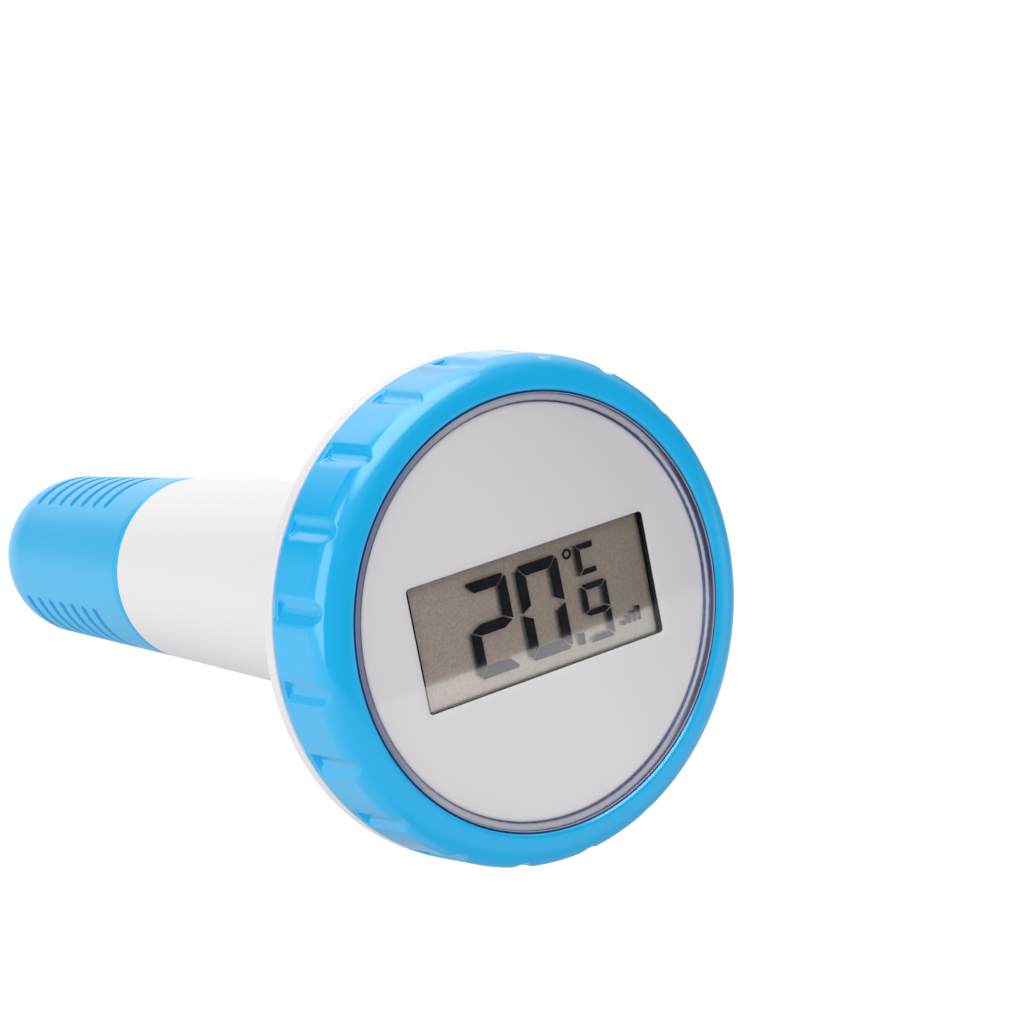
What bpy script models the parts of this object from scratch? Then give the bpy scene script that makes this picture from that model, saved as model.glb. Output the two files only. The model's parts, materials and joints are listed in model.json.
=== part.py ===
"""Floating pool thermometer: a sealed float with a wireless display in its head and a probe in its foot.

Metres, +Z up. The float stands as it swims: the nose of the end cap touches z = 0, and the display
faces +Z at the top. +X is the reading direction of the display and +Y is the top of its digits.
Heights in this file are measured from the nose.
"""

import math

import bmesh
import bpy
from mathutils import Matrix, Vector

MM = 0.001

# ---- Driving dimensions ----
FLOAT_LENGTH = 190 * MM
RING_RADIUS = 47 * MM
RING_DEPTH = 16.5 * MM
TUBE_TOP_RADIUS = 23.4 * MM
TUBE_END_RADIUS = 19.0 * MM
CAP_HEIGHT = 65.2 * MM
CAP_NOSE_RADIUS = 17.4 * MM
CAP_DOME_HEIGHT = 19.4 * MM
DOME_POWER = 2.25
WALL = 2.2 * MM
GAP = 0.3 * MM
STICKY_GAP = 0.2 * MM
EDGE_BEVEL = 0.4 * MM
SMALL_BEVEL = 0.2 * MM

# How far a cutter passes the face that it cuts, and joined shapes reach into each other
OVERLAP = 1 * MM

# ---- Locking ring ----
RING_TOP = FLOAT_LENGTH
RING_BACK = RING_TOP - RING_DEPTH
RING_LIP_RADIUS = 40.3 * MM
RING_LAND_INNER = 40.7 * MM
RING_LAND_OUTER = 41.7 * MM
RING_CROWN_HEIGHT = 5.06 * MM
RING_BORE = 43.8 * MM
RING_LIP_THICKNESS = 2.4 * MM
NOTCHES = 20
NOTCH_PHASE = math.radians(2.35)
NOTCH_DEPTH = 1.0 * MM
NOTCH_CUTTER_RADIUS = 3.35 * MM
NOTCH_BACK_MARGIN = 1.6 * MM
RING_LIP_CHAMFER = 0.5 * MM
RING_DRAFT = 0.3 * MM
RING_BACK_BEVEL = 0.6 * MM
RING_CROWN_STEPS = 6

# ---- Lens and its seal ----
LENS_TOP = RING_TOP - 0.2 * MM
LENS_THICKNESS = 1.2 * MM
LENS_RADIUS = 39.95 * MM
LENS_CUP_RADIUS = 38.3 * MM
LENS_FLANGE_RADIUS = 43.2 * MM
LENS_FLANGE_TOP = RING_TOP - RING_LIP_THICKNESS - GAP
LENS_FLANGE_THICKNESS = 1.8 * MM
LENS_BEVEL = 0.5 * MM
GASKET_THICKNESS = 1.5 * MM
GASKET_BORE = 39.4 * MM
GASKET_RADIUS = 42.2 * MM

# ---- Float body ----
NECK_TOP = LENS_FLANGE_TOP - LENS_FLANGE_THICKNESS - GASKET_THICKNESS - 2 * GAP
NECK_RADIUS = 42.0 * MM
NECK_BORE = 38.9 * MM
COLLAR_RADIUS = 47.2 * MM
COLLAR_TOP = RING_BACK - GAP
COLLAR_THICKNESS = 3.0 * MM
COLLAR_BOTTOM = COLLAR_TOP - COLLAR_THICKNESS
FLARE_TOP_RADIUS = 38.5 * MM
FLARE_BOTTOM = 146 * MM
FLOOR_HEIGHT = 172 * MM
FLOOR_BORE = 35.5 * MM
SPIGOT_RADIUS = 16.0 * MM
SPIGOT_BORE = 13.7 * MM
SPIGOT_LIP_BORE = 12.5 * MM
SPIGOT_END = 52.0 * MM
SPIGOT_BEVEL = 0.6 * MM
SPIGOT_LIP_THICKNESS = 0.7 * MM
SHOULDER_RAMP = 2 * MM
COLLAR_TOP_BEVEL = 0.3 * MM
COLLAR_BOTTOM_BEVEL = 0.7 * MM
OUTER_FLARE_STEPS = 7
INNER_FLARE_STEPS = 5

# ---- Screw threads: the ring on the neck, and the cap on the spigot ----
RING_PITCH = 4.0 * MM
RING_THREAD_TURNS = 1.25
RING_THREAD_START = RING_BACK + 2.0 * MM
CAP_PITCH = 3.0 * MM
CAP_THREAD_TURNS = 1.75
CAP_THREAD_START = SPIGOT_END + 2.2 * MM
THREAD_HEIGHT = 1.3 * MM
CAP_THREAD_HEIGHT = 1.0 * MM
THREAD_ROOT_WIDTH = 1.5 * MM
THREAD_CREST_WIDTH = 0.8 * MM
CAP_THREAD_ROOT_WIDTH = 1.1 * MM
CAP_THREAD_CREST_WIDTH = 0.6 * MM
THREAD_BURIED = 0.4 * MM

# ---- End cap ----
CAP_BORE = 17.5 * MM
CAP_SEAL_BORE = 17.8 * MM
CAP_SEAL_DEPTH = 2.6 * MM
CAP_INNER_RADIUS = 15.2 * MM
CAP_STEP_HEIGHT = 51.2 * MM
CAP_STEP_BEVEL = 1 * MM
CAP_FLOOR = 2.8 * MM
SOCKET_RADIUS = 6.5 * MM
SOCKET_BORE = 4.8 * MM
SOCKET_TOP = 22 * MM
SOCKET_DRAFT = 0.5 * MM
SOCKET_ROOT = 0.6 * MM
CAP_DOME_STEPS = 7
CAP_INNER_STEPS = 4
GROOVES = 7
GROOVE_SPACING = 5.25 * MM
GROOVE_TOP = 49.8 * MM
GROOVE_WIDTH = 1.8 * MM
GROOVE_DEPTH = 1.0 * MM
GROOVE_HALF_ANGLE = math.radians(54.5)
GROOVE_CENTRES = (math.radians(70), math.radians(250))
GROOVE_STEPS = 12
GROOVE_CUTTER_REACH = 1.5 * MM
CAP_SEAL_SECTION = 0.6 * MM
CAP_SEAL_RADIUS = SPIGOT_RADIUS + 0.95 * MM
CAP_SEAL_HEIGHT = CAP_HEIGHT - 1.2 * MM
CAP_SEAL_SIDES = 6

# ---- Display stack, from the dial plate down ----
PLATE_TOP = LENS_TOP - LENS_THICKNESS - STICKY_GAP
PLATE_RADIUS = 38.0 * MM
PLATE_THICKNESS = 0.5 * MM
WINDOW_SIZE = (53.1 * MM, 23.2 * MM)
WINDOW_CORNER = 0.8 * MM
GLASS_SIZE = (58 * MM, 32 * MM, 2.2 * MM)
GLASS_TOP = PLATE_TOP - 1.55 * MM
LCD_GASKET_OPENING = (53.7 * MM, 23.8 * MM)
LCD_GASKET_TOP = PLATE_TOP - PLATE_THICKNESS - 0.25 * MM
REFLECTOR_SIZE = (53.4 * MM, 25.2 * MM, 0.4 * MM)
REFLECTOR_SHIFT = -0.3 * MM
ZEBRA_SIZE = (50 * MM, 2 * MM)
ZEBRA_Y = 13.9 * MM
MODULE_RADIUS = 37.5 * MM
MODULE_CORNER = 1 * MM
FRAME_TOP = PLATE_TOP - PLATE_THICKNESS - GAP
FRAME_BOTTOM = 181.7 * MM
FRAME_LOWER_OPENING = (54 * MM, 30.4 * MM)
PILOT_ROOF = 1.2 * MM
BOARD_RADIUS = 34.5 * MM
BOARD_TOP = FRAME_BOTTOM - GAP
BOARD_THICKNESS = 1.6 * MM
BOARD_BOTTOM = BOARD_TOP - BOARD_THICKNESS
COVER_BOTTOM = FLOOR_HEIGHT + GAP
COVER_FLOOR = 1.6 * MM
COVER_BORE = 35.6 * MM
CABLE_HOLE = (9 * MM, 7 * MM)
LEADS_HOLE = (8 * MM, 4 * MM)

# ---- Module fasteners, buttons and switches ----
SCREW_X = 12 * MM
SCREW_Y = 24 * MM
SCREW_SHANK = 1.0 * MM
SCREW_HEAD = 1.9 * MM
SCREW_HEAD_HEIGHT = 1.3 * MM
SCREW_HOLE = 1.3 * MM
SCREW_LENGTH = 13.5 * MM
SCREW_SLOT = (0.6 * MM, 5 * MM, 1.2 * MM)
BOSS_RADIUS = 2.6 * MM
BUTTON_X = 20 * MM
BUTTON_Y = -8 * MM
BUTTON_RADIUS = 2.6 * MM
BUTTON_FLANGE = 3.6 * MM
BUTTON_BOTTOM = 171.4 * MM
BUTTON_TOP = 174.9 * MM
SWITCH_SIZE = (6 * MM, 6 * MM, 3.4 * MM)
SWITCH_PLUNGER = 175.7 * MM
PLUNGER_RADIUS = 1.6 * MM

# ---- Pieces on the board ----
CHIP_SIZE = (7 * MM, 7 * MM, 1.2 * MM)
CHIP_PLACE = (-8 * MM, 2 * MM)
SHIELD_SIZE = (14 * MM, 11 * MM, 2.6 * MM)
SHIELD_PLACE = (14 * MM, 6 * MM)
CRYSTAL_RADIUS = 1 * MM
CRYSTAL_LENGTH = 6 * MM
CRYSTAL_PLACE = (-20 * MM, 8 * MM)
SOCKET_SIZE = (7 * MM, 4.6 * MM, 4 * MM)
PLUG_BEVEL = 0.3 * MM
COIL_RADIUS = 2 * MM
COIL_LENGTH = 17 * MM
COIL_WIRE = 0.35 * MM
COIL_PLACE = (-8.5 * MM, -16 * MM)
COIL_DROP = 2.5 * MM

# ---- Battery pack ----
CELL_RADIUS = 7.2 * MM
CELL_LENGTH = 50.5 * MM
CELL_SPREAD = 7.6 * MM
PACK_FLOOR = 91.0 * MM
PACK_CAVITY = 56.5 * MM
PACK_PLATE = 1.5 * MM
PACK_HALF_WIDTH = 15.3 * MM
PACK_BACK = -9.0 * MM
PACK_FRONT = 1.5 * MM
PACK_CORNER = 3 * MM
FOOT_X = 12.6 * MM
FOOT_SIZE = (3.4 * MM, 5 * MM)
CELL_CLEARANCE = 0.35 * MM
CELL_EDGE = (1 * MM, 0.6 * MM)
CELL_BUTTON_RADIUS = 2.6 * MM
CELL_BUTTON_HEIGHT = 1.2 * MM
HOLDER_FRONT_SIZE = (22 * MM, 10 * MM, PACK_CAVITY - 0.2 * MM)
CONTACT_THICKNESS = 0.4 * MM
CONTACT_SIZE = (9 * MM, 8 * MM, CONTACT_THICKNESS)
CONTACT_GAP = 0.25 * MM
BRIDGE_SIZE = (24 * MM, 8 * MM, CONTACT_THICKNESS)
BRIDGE_Y = 0.4 * MM
TAB_SIZE = (2.4 * MM, 0.4 * MM, 4 * MM)
TAB_SLOT = (3.2 * MM, 1.2 * MM, 4 * MM)
TAB_Y = -2 * MM
SPRING_LENGTH = 3.8 * MM
SPRING_RADIUS = 3.6 * MM
SPRING_WIRE = 0.35 * MM

# ---- Ballast, probe and cable ----
BALLAST_RADIUS = 16.5 * MM
BALLAST_BOTTOM = 67.6 * MM
BALLAST_TOP = 81.5 * MM
BALLAST_BORE = 5.0 * MM
PROBE_RADIUS = 3.0 * MM
PROBE_TIP = 4.6 * MM
PROBE_TOP = 61.0 * MM
CABLE_RADIUS = 1.1 * MM
LEAD_RADIUS = 0.6 * MM
CABLE_Y = 14 * MM
LEADS_X = 2 * MM
LEADS_Y = 4 * MM
LEAD_START = 4.6 * MM
LEAD_RISE = 7 * MM
LEAD_SLACK = 3 * MM
LEAD_BEND_HEIGHTS = (18 * MM, 12 * MM)
BALLAST_BEVEL = 0.8 * MM
PROBE_HOLDER_BOTTOM = SPIGOT_END + 1 * MM
PROBE_HOLDER_HEIGHT = 5 * MM
PROBE_HOLDER_RIM = 2 * MM
PROBE_HOLDER_TOP_RADIUS = 7 * MM
CUP_CLEARANCE = 0.35 * MM
CUP_SINK = 1 * MM
CABLE_RISE = 12 * MM
CABLE_PACK_Y = 12 * MM
CABLE_PACK_BEND = 4 * MM
CABLE_PACK_RUN = 20 * MM
PLUG_SIZE = (6 * MM, 4 * MM)
PLUG_BOTTOM = COVER_BOTTOM - 1.5 * MM

# ---- Facets round a full turn ----
FINE = 32
MEDIUM = 24
COARSE = 16
SMALL = 10

# ---- Colours ----
BLUE = (0.045, 0.42, 0.80)
WHITE = (0.88, 0.88, 0.89)
DIAL_GREY = (0.74, 0.73, 0.75)
BLACK = (0.015, 0.015, 0.018)
RUBBER_GREY = (0.12, 0.12, 0.15)
STEEL = (0.60, 0.60, 0.61)
BRASS = (0.72, 0.52, 0.24)
GREEN = (0.02, 0.22, 0.09)
LENS_CLEAR = (0.95, 0.96, 0.98)
GLASS_TINT = (0.20, 0.18, 0.16)
FILM_GREY = (0.42, 0.40, 0.36)
PINK = (0.75, 0.35, 0.45)
BUTTON_DARK = (0.08, 0.08, 0.09)
BUTTON_GREY = (0.30, 0.30, 0.32)
CELL_GREEN = (0.08, 0.30, 0.20)
CABLE_BLACK = (0.05, 0.05, 0.06)
IVORY = (0.82, 0.80, 0.74)
RED = (0.55, 0.02, 0.02)


# ---------------------------------------------------------------- helpers

def clear_scene():
    for item in list(bpy.data.objects):
        bpy.data.objects.remove(item)


def principled(name, colour, roughness, metallic=0.0, transmission=0.0):
    material = bpy.data.materials.new(name)
    material.use_nodes = True
    shader = material.node_tree.nodes["Principled BSDF"]
    shader.inputs["Base Color"].default_value = (*colour, 1.0)
    shader.inputs["Roughness"].default_value = roughness
    shader.inputs["Metallic"].default_value = metallic
    shader.inputs["Transmission Weight"].default_value = transmission
    material.diffuse_color = (*colour, 1.0)
    return material


def paint(item, colour, roughness, metallic=0.0, transmission=0.0):
    item.data.materials.clear()
    item.data.materials.append(principled(item.name, colour, roughness, metallic, transmission))
    return item


def new_object(name, data, location):
    item = bpy.data.objects.new(name, data)
    item.location = location
    bpy.context.scene.collection.objects.link(item)
    return item


def object_from(name, shape, location=(0, 0, 0)):
    """An object from a bmesh, with its faces turned outwards and its round faces shaded smooth."""
    bmesh.ops.recalc_face_normals(shape, faces=shape.faces)
    mesh = bpy.data.meshes.new(name)
    shape.to_mesh(mesh)
    shape.free()
    mesh.shade_smooth()
    mesh.set_sharp_from_angle(angle=math.radians(35))
    return new_object(name, mesh, location)


def group(name, location):
    holder = new_object(name, None, location)
    holder.empty_display_size = 10 * MM
    return holder


def attach(holder, *items):
    for item in items:
        item.parent = holder
        item.location = Vector(item.location) - Vector(holder.location)


def turn_outline(shape, outline, segments):
    """Spins a list of (radius, height) points once round Z. An outline that starts and ends on the
    axis closes itself there; any other is closed from its last point to its first."""
    points = [shape.verts.new((radius, 0, height)) for radius, height in outline]
    edges = [shape.edges.new(pair) for pair in zip(points, points[1:])]
    if outline[0][0] > 0 or outline[-1][0] > 0:
        edges.append(shape.edges.new((points[-1], points[0])))
    bmesh.ops.spin(
        shape,
        geom=points + edges,
        cent=(0, 0, 0),
        axis=(0, 0, 1),
        angle=math.tau,
        steps=segments,
        use_duplicate=False,
    )
    bmesh.ops.remove_doubles(shape, verts=shape.verts, dist=1e-7)


def turned(name, outline, segments, base=0.0, centre=(0, 0)):
    shape = bmesh.new()
    turn_outline(shape, [(radius, height - base) for radius, height in outline], segments)
    return object_from(name, shape, (*centre, base))


def add_box(shape, size, centre):
    bmesh.ops.create_cube(shape, size=1, matrix=Matrix.Translation(centre) @ Matrix.Diagonal((*size, 1)))


def block(name, size, centre, rounding=0.0, segments=1):
    """A box whose origin is its centre. rounding bevels its edges."""
    shape = bmesh.new()
    add_box(shape, size, (0, 0, 0))
    item = object_from(name, shape, centre)
    if rounding:
        bevel = item.modifiers.new("rounding", "BEVEL")
        bevel.width = rounding
        bevel.segments = segments
        bevel.limit_method = "ANGLE"
    return item


def add_prism(shape, size, corner, bottom, top, centre=(0, 0), steps=3):
    """A rectangular prism with rounded vertical edges."""
    ring = []
    for quadrant, (sign_x, sign_y) in enumerate(((1, 1), (-1, 1), (-1, -1), (1, -1))):
        corner_x = centre[0] + sign_x * (size[0] / 2 - corner)
        corner_y = centre[1] + sign_y * (size[1] / 2 - corner)
        for step in range(steps + 1):
            angle = (quadrant + step / steps) * math.pi / 2
            point = (corner_x + corner * math.cos(angle), corner_y + corner * math.sin(angle), bottom)
            ring.append(shape.verts.new(point))
    floor = shape.faces.new(ring)
    raised = bmesh.ops.extrude_face_region(shape, geom=[floor])["geom"]
    moved = [part for part in raised if isinstance(part, bmesh.types.BMVert)]
    bmesh.ops.translate(shape, verts=moved, vec=(0, 0, top - bottom))


def add_cylinder(shape, radius, bottom, top, segments, centre=(0, 0)):
    middle = Matrix.Translation((*centre, (bottom + top) / 2))
    bmesh.ops.create_cone(
        shape,
        cap_ends=True,
        segments=segments,
        radius1=radius,
        radius2=radius,
        depth=top - bottom,
        matrix=middle,
    )


def helper(name, shape, location=(0, 0, 0)):
    """A hidden solid that a Boolean reads."""
    item = object_from(name, shape, location)
    item.hide_render = True
    item.display_type = "WIRE"
    return item


def boolean(item, tool, operation):
    modifier = item.modifiers.new(tool.name, "BOOLEAN")
    modifier.operation = operation
    modifier.solver = "EXACT"
    modifier.object = tool
    return item


def thread_ridge(name, root, crest, pitch, turns, start, widths, segments):
    """A helical ridge that winds upwards from height start. Its root is buried in the wall it
    belongs to, so crest is smaller than root for a thread inside a bore."""
    outward = 1 if crest > root else -1
    section = (
        (root - outward * THREAD_BURIED, -widths[0] / 2),
        (crest, -widths[1] / 2),
        (crest, widths[1] / 2),
        (root - outward * THREAD_BURIED, widths[0] / 2),
    )
    shape = bmesh.new()
    loops = []
    for step in range(round(turns * segments) + 1):
        # Half a facet on, so that no ridge edge runs along an edge of the wall's facets.
        share = (step + 0.5) / segments
        angle = share * math.tau
        lift = start + pitch * share
        loops.append([
            shape.verts.new((radius * math.cos(angle), radius * math.sin(angle), lift + offset))
            for radius, offset in section
        ])
    for low, high in zip(loops, loops[1:]):
        for corner in range(4):
            after = (corner + 1) % 4
            shape.faces.new((low[corner], low[after], high[after], high[corner]))
    shape.faces.new(loops[0])
    shape.faces.new(loops[-1])
    return helper(name, shape)


def wire(name, points, radius, sides=1, location=(0, 0, 0), smooth=True):
    """A round wire along a list of points, as a curve with filled ends."""
    curve = bpy.data.curves.new(name, "CURVE")
    curve.dimensions = "3D"
    curve.bevel_depth = radius
    curve.bevel_resolution = sides
    curve.use_fill_caps = True
    spline = curve.splines.new("NURBS" if smooth else "POLY")
    spline.points.add(len(points) - 1)
    for slot, point in zip(spline.points, points):
        slot.co = (*point, 1)
    if smooth:
        spline.use_endpoint_u = True
        spline.order_u = 3
        curve.resolution_u = 3
    return new_object(name, curve, location)


def coil_points(radius, length, turns, steps, taper=1.0):
    """Points along a coil that rises along Z, from radius at its foot to radius * taper at its top."""
    points = []
    for step in range(round(turns * steps) + 1):
        share = step / (turns * steps)
        angle = step * math.tau / steps
        reach = radius * (1 + (taper - 1) * share)
        points.append((reach * math.cos(angle), reach * math.sin(angle), length * share))
    return points


def arc_points(centre, radii, first, last, steps):
    """(radius, height) points on an elliptical arc, with angles measured from the radius axis."""
    return [
        (
            centre[0] + radii[0] * math.cos(first + (last - first) * step / steps),
            centre[1] + radii[1] * math.sin(first + (last - first) * step / steps),
        )
        for step in range(steps + 1)
    ]


# ---------------------------------------------------------------- outer shape rules

def tube_radius(height):
    """The outside of the tapered tube."""
    top = RING_BACK
    share = (top - height) / (top - CAP_HEIGHT)
    return TUBE_TOP_RADIUS + (TUBE_END_RADIUS - TUBE_TOP_RADIUS) * share


def cap_radius(height):
    """The outside of the end cap: a slight taper, then a superelliptical dome down to the nose."""
    if height >= CAP_DOME_HEIGHT:
        share = (CAP_HEIGHT - height) / (CAP_HEIGHT - CAP_DOME_HEIGHT)
        return TUBE_END_RADIUS + (CAP_NOSE_RADIUS - TUBE_END_RADIUS) * share
    depth = (CAP_DOME_HEIGHT - height) / CAP_DOME_HEIGHT
    return CAP_NOSE_RADIUS * (1 - min(depth, 1) ** DOME_POWER) ** (1 / DOME_POWER)


def flare_outline(tube_offset, top_radius, top_height, steps):
    """(radius, height) points from the tube up an elliptical flare, which ends level."""
    points = []
    for step in range(steps + 1):
        share = math.sin(step / steps * math.pi / 2)
        height = FLARE_BOTTOM + (top_height - FLARE_BOTTOM) * share
        tube = tube_radius(height) - tube_offset
        points.append((tube + (top_radius - tube) * (1 - math.sqrt(1 - share * share)), height))
    return points


# ---------------------------------------------------------------- head

def make_locking_ring():
    crown = arc_points(
        (RING_LAND_OUTER, RING_TOP - RING_CROWN_HEIGHT),
        (RING_RADIUS - RING_LAND_OUTER, RING_CROWN_HEIGHT),
        math.pi / 2,
        0,
        RING_CROWN_STEPS,
    )
    lip_bottom = RING_TOP - RING_LIP_THICKNESS
    outline = [
        (RING_LIP_RADIUS, lip_bottom),
        (RING_LIP_RADIUS, RING_TOP - RING_LIP_CHAMFER),
        (RING_LAND_INNER, RING_TOP),
        *crown,
        (RING_RADIUS + RING_DRAFT, RING_BACK + RING_BACK_BEVEL),
        (RING_RADIUS + RING_DRAFT - RING_BACK_BEVEL, RING_BACK),
        (RING_BORE, RING_BACK),
        (RING_BORE, lip_bottom),
    ]
    ring = turned("locking_ring", outline, FINE, RING_BACK)
    ridge = thread_ridge(
        "ring_thread_tool",
        RING_BORE,
        RING_BORE - THREAD_HEIGHT,
        RING_PITCH,
        RING_THREAD_TURNS,
        RING_THREAD_START,
        (THREAD_ROOT_WIDTH, THREAD_CREST_WIDTH),
        FINE,
    )
    boolean(ring, ridge, "UNION")
    boolean(ring, notch_tool(), "DIFFERENCE")
    return paint(ring, BLUE, 0.28)


def notch_tool():
    """Upright cylinders round the ring. Each one bites a grip notch and runs out in the crown."""
    shape = bmesh.new()
    reach = RING_RADIUS - NOTCH_DEPTH + NOTCH_CUTTER_RADIUS
    for notch in range(NOTCHES):
        angle = NOTCH_PHASE + notch * math.tau / NOTCHES
        centre = (reach * math.cos(angle), reach * math.sin(angle))
        bottom = RING_BACK + NOTCH_BACK_MARGIN
        add_cylinder(shape, NOTCH_CUTTER_RADIUS, bottom, RING_TOP + OVERLAP, COARSE, centre)
    return helper("notch_tool", shape)


def make_lens():
    flange_bottom = LENS_FLANGE_TOP - LENS_FLANGE_THICKNESS
    outline = [
        (0, LENS_TOP),
        (LENS_RADIUS - LENS_BEVEL, LENS_TOP),
        (LENS_RADIUS, LENS_TOP - LENS_BEVEL),
        (LENS_RADIUS, LENS_FLANGE_TOP),
        (LENS_FLANGE_RADIUS, LENS_FLANGE_TOP),
        (LENS_FLANGE_RADIUS, flange_bottom),
        (LENS_CUP_RADIUS, flange_bottom),
        (LENS_CUP_RADIUS, LENS_TOP - LENS_THICKNESS),
        (0, LENS_TOP - LENS_THICKNESS),
    ]
    lens = turned("lens", outline, FINE, flange_bottom)
    return paint(lens, LENS_CLEAR, 0.03, transmission=1.0)


def make_lens_gasket():
    bottom = NECK_TOP + GAP
    outline = [
        (GASKET_BORE, bottom),
        (GASKET_RADIUS, bottom),
        (GASKET_RADIUS, bottom + GASKET_THICKNESS),
        (GASKET_BORE, bottom + GASKET_THICKNESS),
    ]
    return paint(turned("lens_gasket", outline, MEDIUM, bottom), RUBBER_GREY, 0.6)


def make_float_body():
    shoulder = CAP_HEIGHT
    outline = [
        (NECK_BORE, NECK_TOP),
        (NECK_RADIUS - EDGE_BEVEL, NECK_TOP),
        (NECK_RADIUS, NECK_TOP - EDGE_BEVEL),
        (NECK_RADIUS, COLLAR_TOP),
        (COLLAR_RADIUS - COLLAR_TOP_BEVEL, COLLAR_TOP),
        (COLLAR_RADIUS, COLLAR_TOP - COLLAR_TOP_BEVEL),
        (COLLAR_RADIUS, COLLAR_BOTTOM + COLLAR_BOTTOM_BEVEL),
        (COLLAR_RADIUS - COLLAR_BOTTOM_BEVEL, COLLAR_BOTTOM),
        *reversed(flare_outline(0, FLARE_TOP_RADIUS, COLLAR_BOTTOM, OUTER_FLARE_STEPS)),
        (tube_radius(shoulder), shoulder),
        (SPIGOT_RADIUS, shoulder),
        (SPIGOT_RADIUS, SPIGOT_END + SPIGOT_BEVEL),
        (SPIGOT_RADIUS - SPIGOT_BEVEL, SPIGOT_END),
        (SPIGOT_LIP_BORE, SPIGOT_END),
        (SPIGOT_LIP_BORE, SPIGOT_END + SPIGOT_LIP_THICKNESS),
        (SPIGOT_BORE, SPIGOT_END + SPIGOT_LIP_THICKNESS),
        (SPIGOT_BORE, shoulder),
        (tube_radius(shoulder) - WALL, shoulder + SHOULDER_RAMP),
        *flare_outline(WALL, FLOOR_BORE, FLOOR_HEIGHT, INNER_FLARE_STEPS),
        (NECK_BORE, FLOOR_HEIGHT),
    ]
    body = turned("float_body", outline, FINE, CAP_HEIGHT)
    neck_ridge = thread_ridge(
        "neck_thread_tool",
        NECK_RADIUS,
        NECK_RADIUS + THREAD_HEIGHT,
        RING_PITCH,
        RING_THREAD_TURNS,
        RING_THREAD_START + RING_PITCH / 2,
        (THREAD_ROOT_WIDTH, THREAD_CREST_WIDTH),
        FINE,
    )
    spigot_ridge = thread_ridge(
        "spigot_thread_tool",
        SPIGOT_RADIUS,
        SPIGOT_RADIUS + CAP_THREAD_HEIGHT,
        CAP_PITCH,
        CAP_THREAD_TURNS,
        CAP_THREAD_START,
        (CAP_THREAD_ROOT_WIDTH, CAP_THREAD_CREST_WIDTH),
        FINE,
    )
    boolean(body, neck_ridge, "UNION")
    boolean(body, spigot_ridge, "UNION")
    return paint(body, WHITE, 0.25)


# ---------------------------------------------------------------- display module

def make_dial_plate():
    bottom = PLATE_TOP - PLATE_THICKNESS
    plate = turned(
        "dial_plate",
        [(0, bottom), (PLATE_RADIUS, bottom), (PLATE_RADIUS, PLATE_TOP), (0, PLATE_TOP)],
        FINE,
        bottom,
    )
    shape = bmesh.new()
    add_prism(shape, WINDOW_SIZE, WINDOW_CORNER, bottom - OVERLAP, PLATE_TOP + OVERLAP)
    boolean(plate, helper("window_tool", shape), "DIFFERENCE")
    return paint(plate, DIAL_GREY, 0.35)


def make_lcd_gasket():
    bottom = GLASS_TOP + STICKY_GAP
    shape = bmesh.new()
    add_prism(shape, GLASS_SIZE[:2], MODULE_CORNER, bottom, LCD_GASKET_TOP)
    gasket = object_from("lcd_gasket", shape)
    shape = bmesh.new()
    add_prism(shape, LCD_GASKET_OPENING, WINDOW_CORNER, bottom - OVERLAP, LCD_GASKET_TOP + OVERLAP)
    boolean(gasket, helper("lcd_gasket_tool", shape), "DIFFERENCE")
    return paint(gasket, BLACK, 0.7)


def make_lcd_glass():
    centre = (0, 0, GLASS_TOP - GLASS_SIZE[2] / 2)
    glass = block("lcd_glass", GLASS_SIZE, centre, SMALL_BEVEL)
    return paint(glass, GLASS_TINT, 0.08)


def make_lcd_reflector():
    centre = (0, REFLECTOR_SHIFT, GLASS_TOP - GLASS_SIZE[2] - GAP - REFLECTOR_SIZE[2] / 2)
    reflector = block("lcd_reflector", REFLECTOR_SIZE, centre)
    return paint(reflector, FILM_GREY, 0.35, 0.6)


def make_zebra_strip():
    bottom = BOARD_TOP + GAP
    top = GLASS_TOP - GLASS_SIZE[2] - GAP
    size = (*ZEBRA_SIZE, top - bottom)
    strip = block("zebra_strip", size, (0, ZEBRA_Y, (bottom + top) / 2), SMALL_BEVEL)
    return paint(strip, PINK, 0.6)


def screw_places():
    return [(x * SCREW_X, y * SCREW_Y) for x in (-1, 1) for y in (-1, 1)]


def make_display_frame():
    frame = turned(
        "display_frame",
        [(0, FRAME_BOTTOM), (MODULE_RADIUS, FRAME_BOTTOM), (MODULE_RADIUS, FRAME_TOP), (0, FRAME_TOP)],
        MEDIUM,
        FRAME_BOTTOM,
    )
    pocket_floor = GLASS_TOP - GLASS_SIZE[2] - GAP
    pocket_size = (GLASS_SIZE[0] + 2 * GAP, GLASS_SIZE[1] + 2 * GAP)
    shape = bmesh.new()
    add_prism(shape, pocket_size, MODULE_CORNER, pocket_floor, FRAME_TOP + OVERLAP)
    boolean(frame, helper("lcd_pocket_tool", shape), "DIFFERENCE")
    shape = bmesh.new()
    below = FRAME_BOTTOM - OVERLAP
    add_prism(shape, FRAME_LOWER_OPENING, MODULE_CORNER, below, pocket_floor + OVERLAP)
    boolean(frame, helper("frame_opening_tool", shape), "DIFFERENCE")
    shape = bmesh.new()
    for place in screw_places():
        add_cylinder(shape, SCREW_HOLE, below, FRAME_TOP - PILOT_ROOF, SMALL, place)
    boolean(frame, helper("frame_pilot_tool", shape), "DIFFERENCE")
    return paint(frame, WHITE, 0.45)


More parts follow.
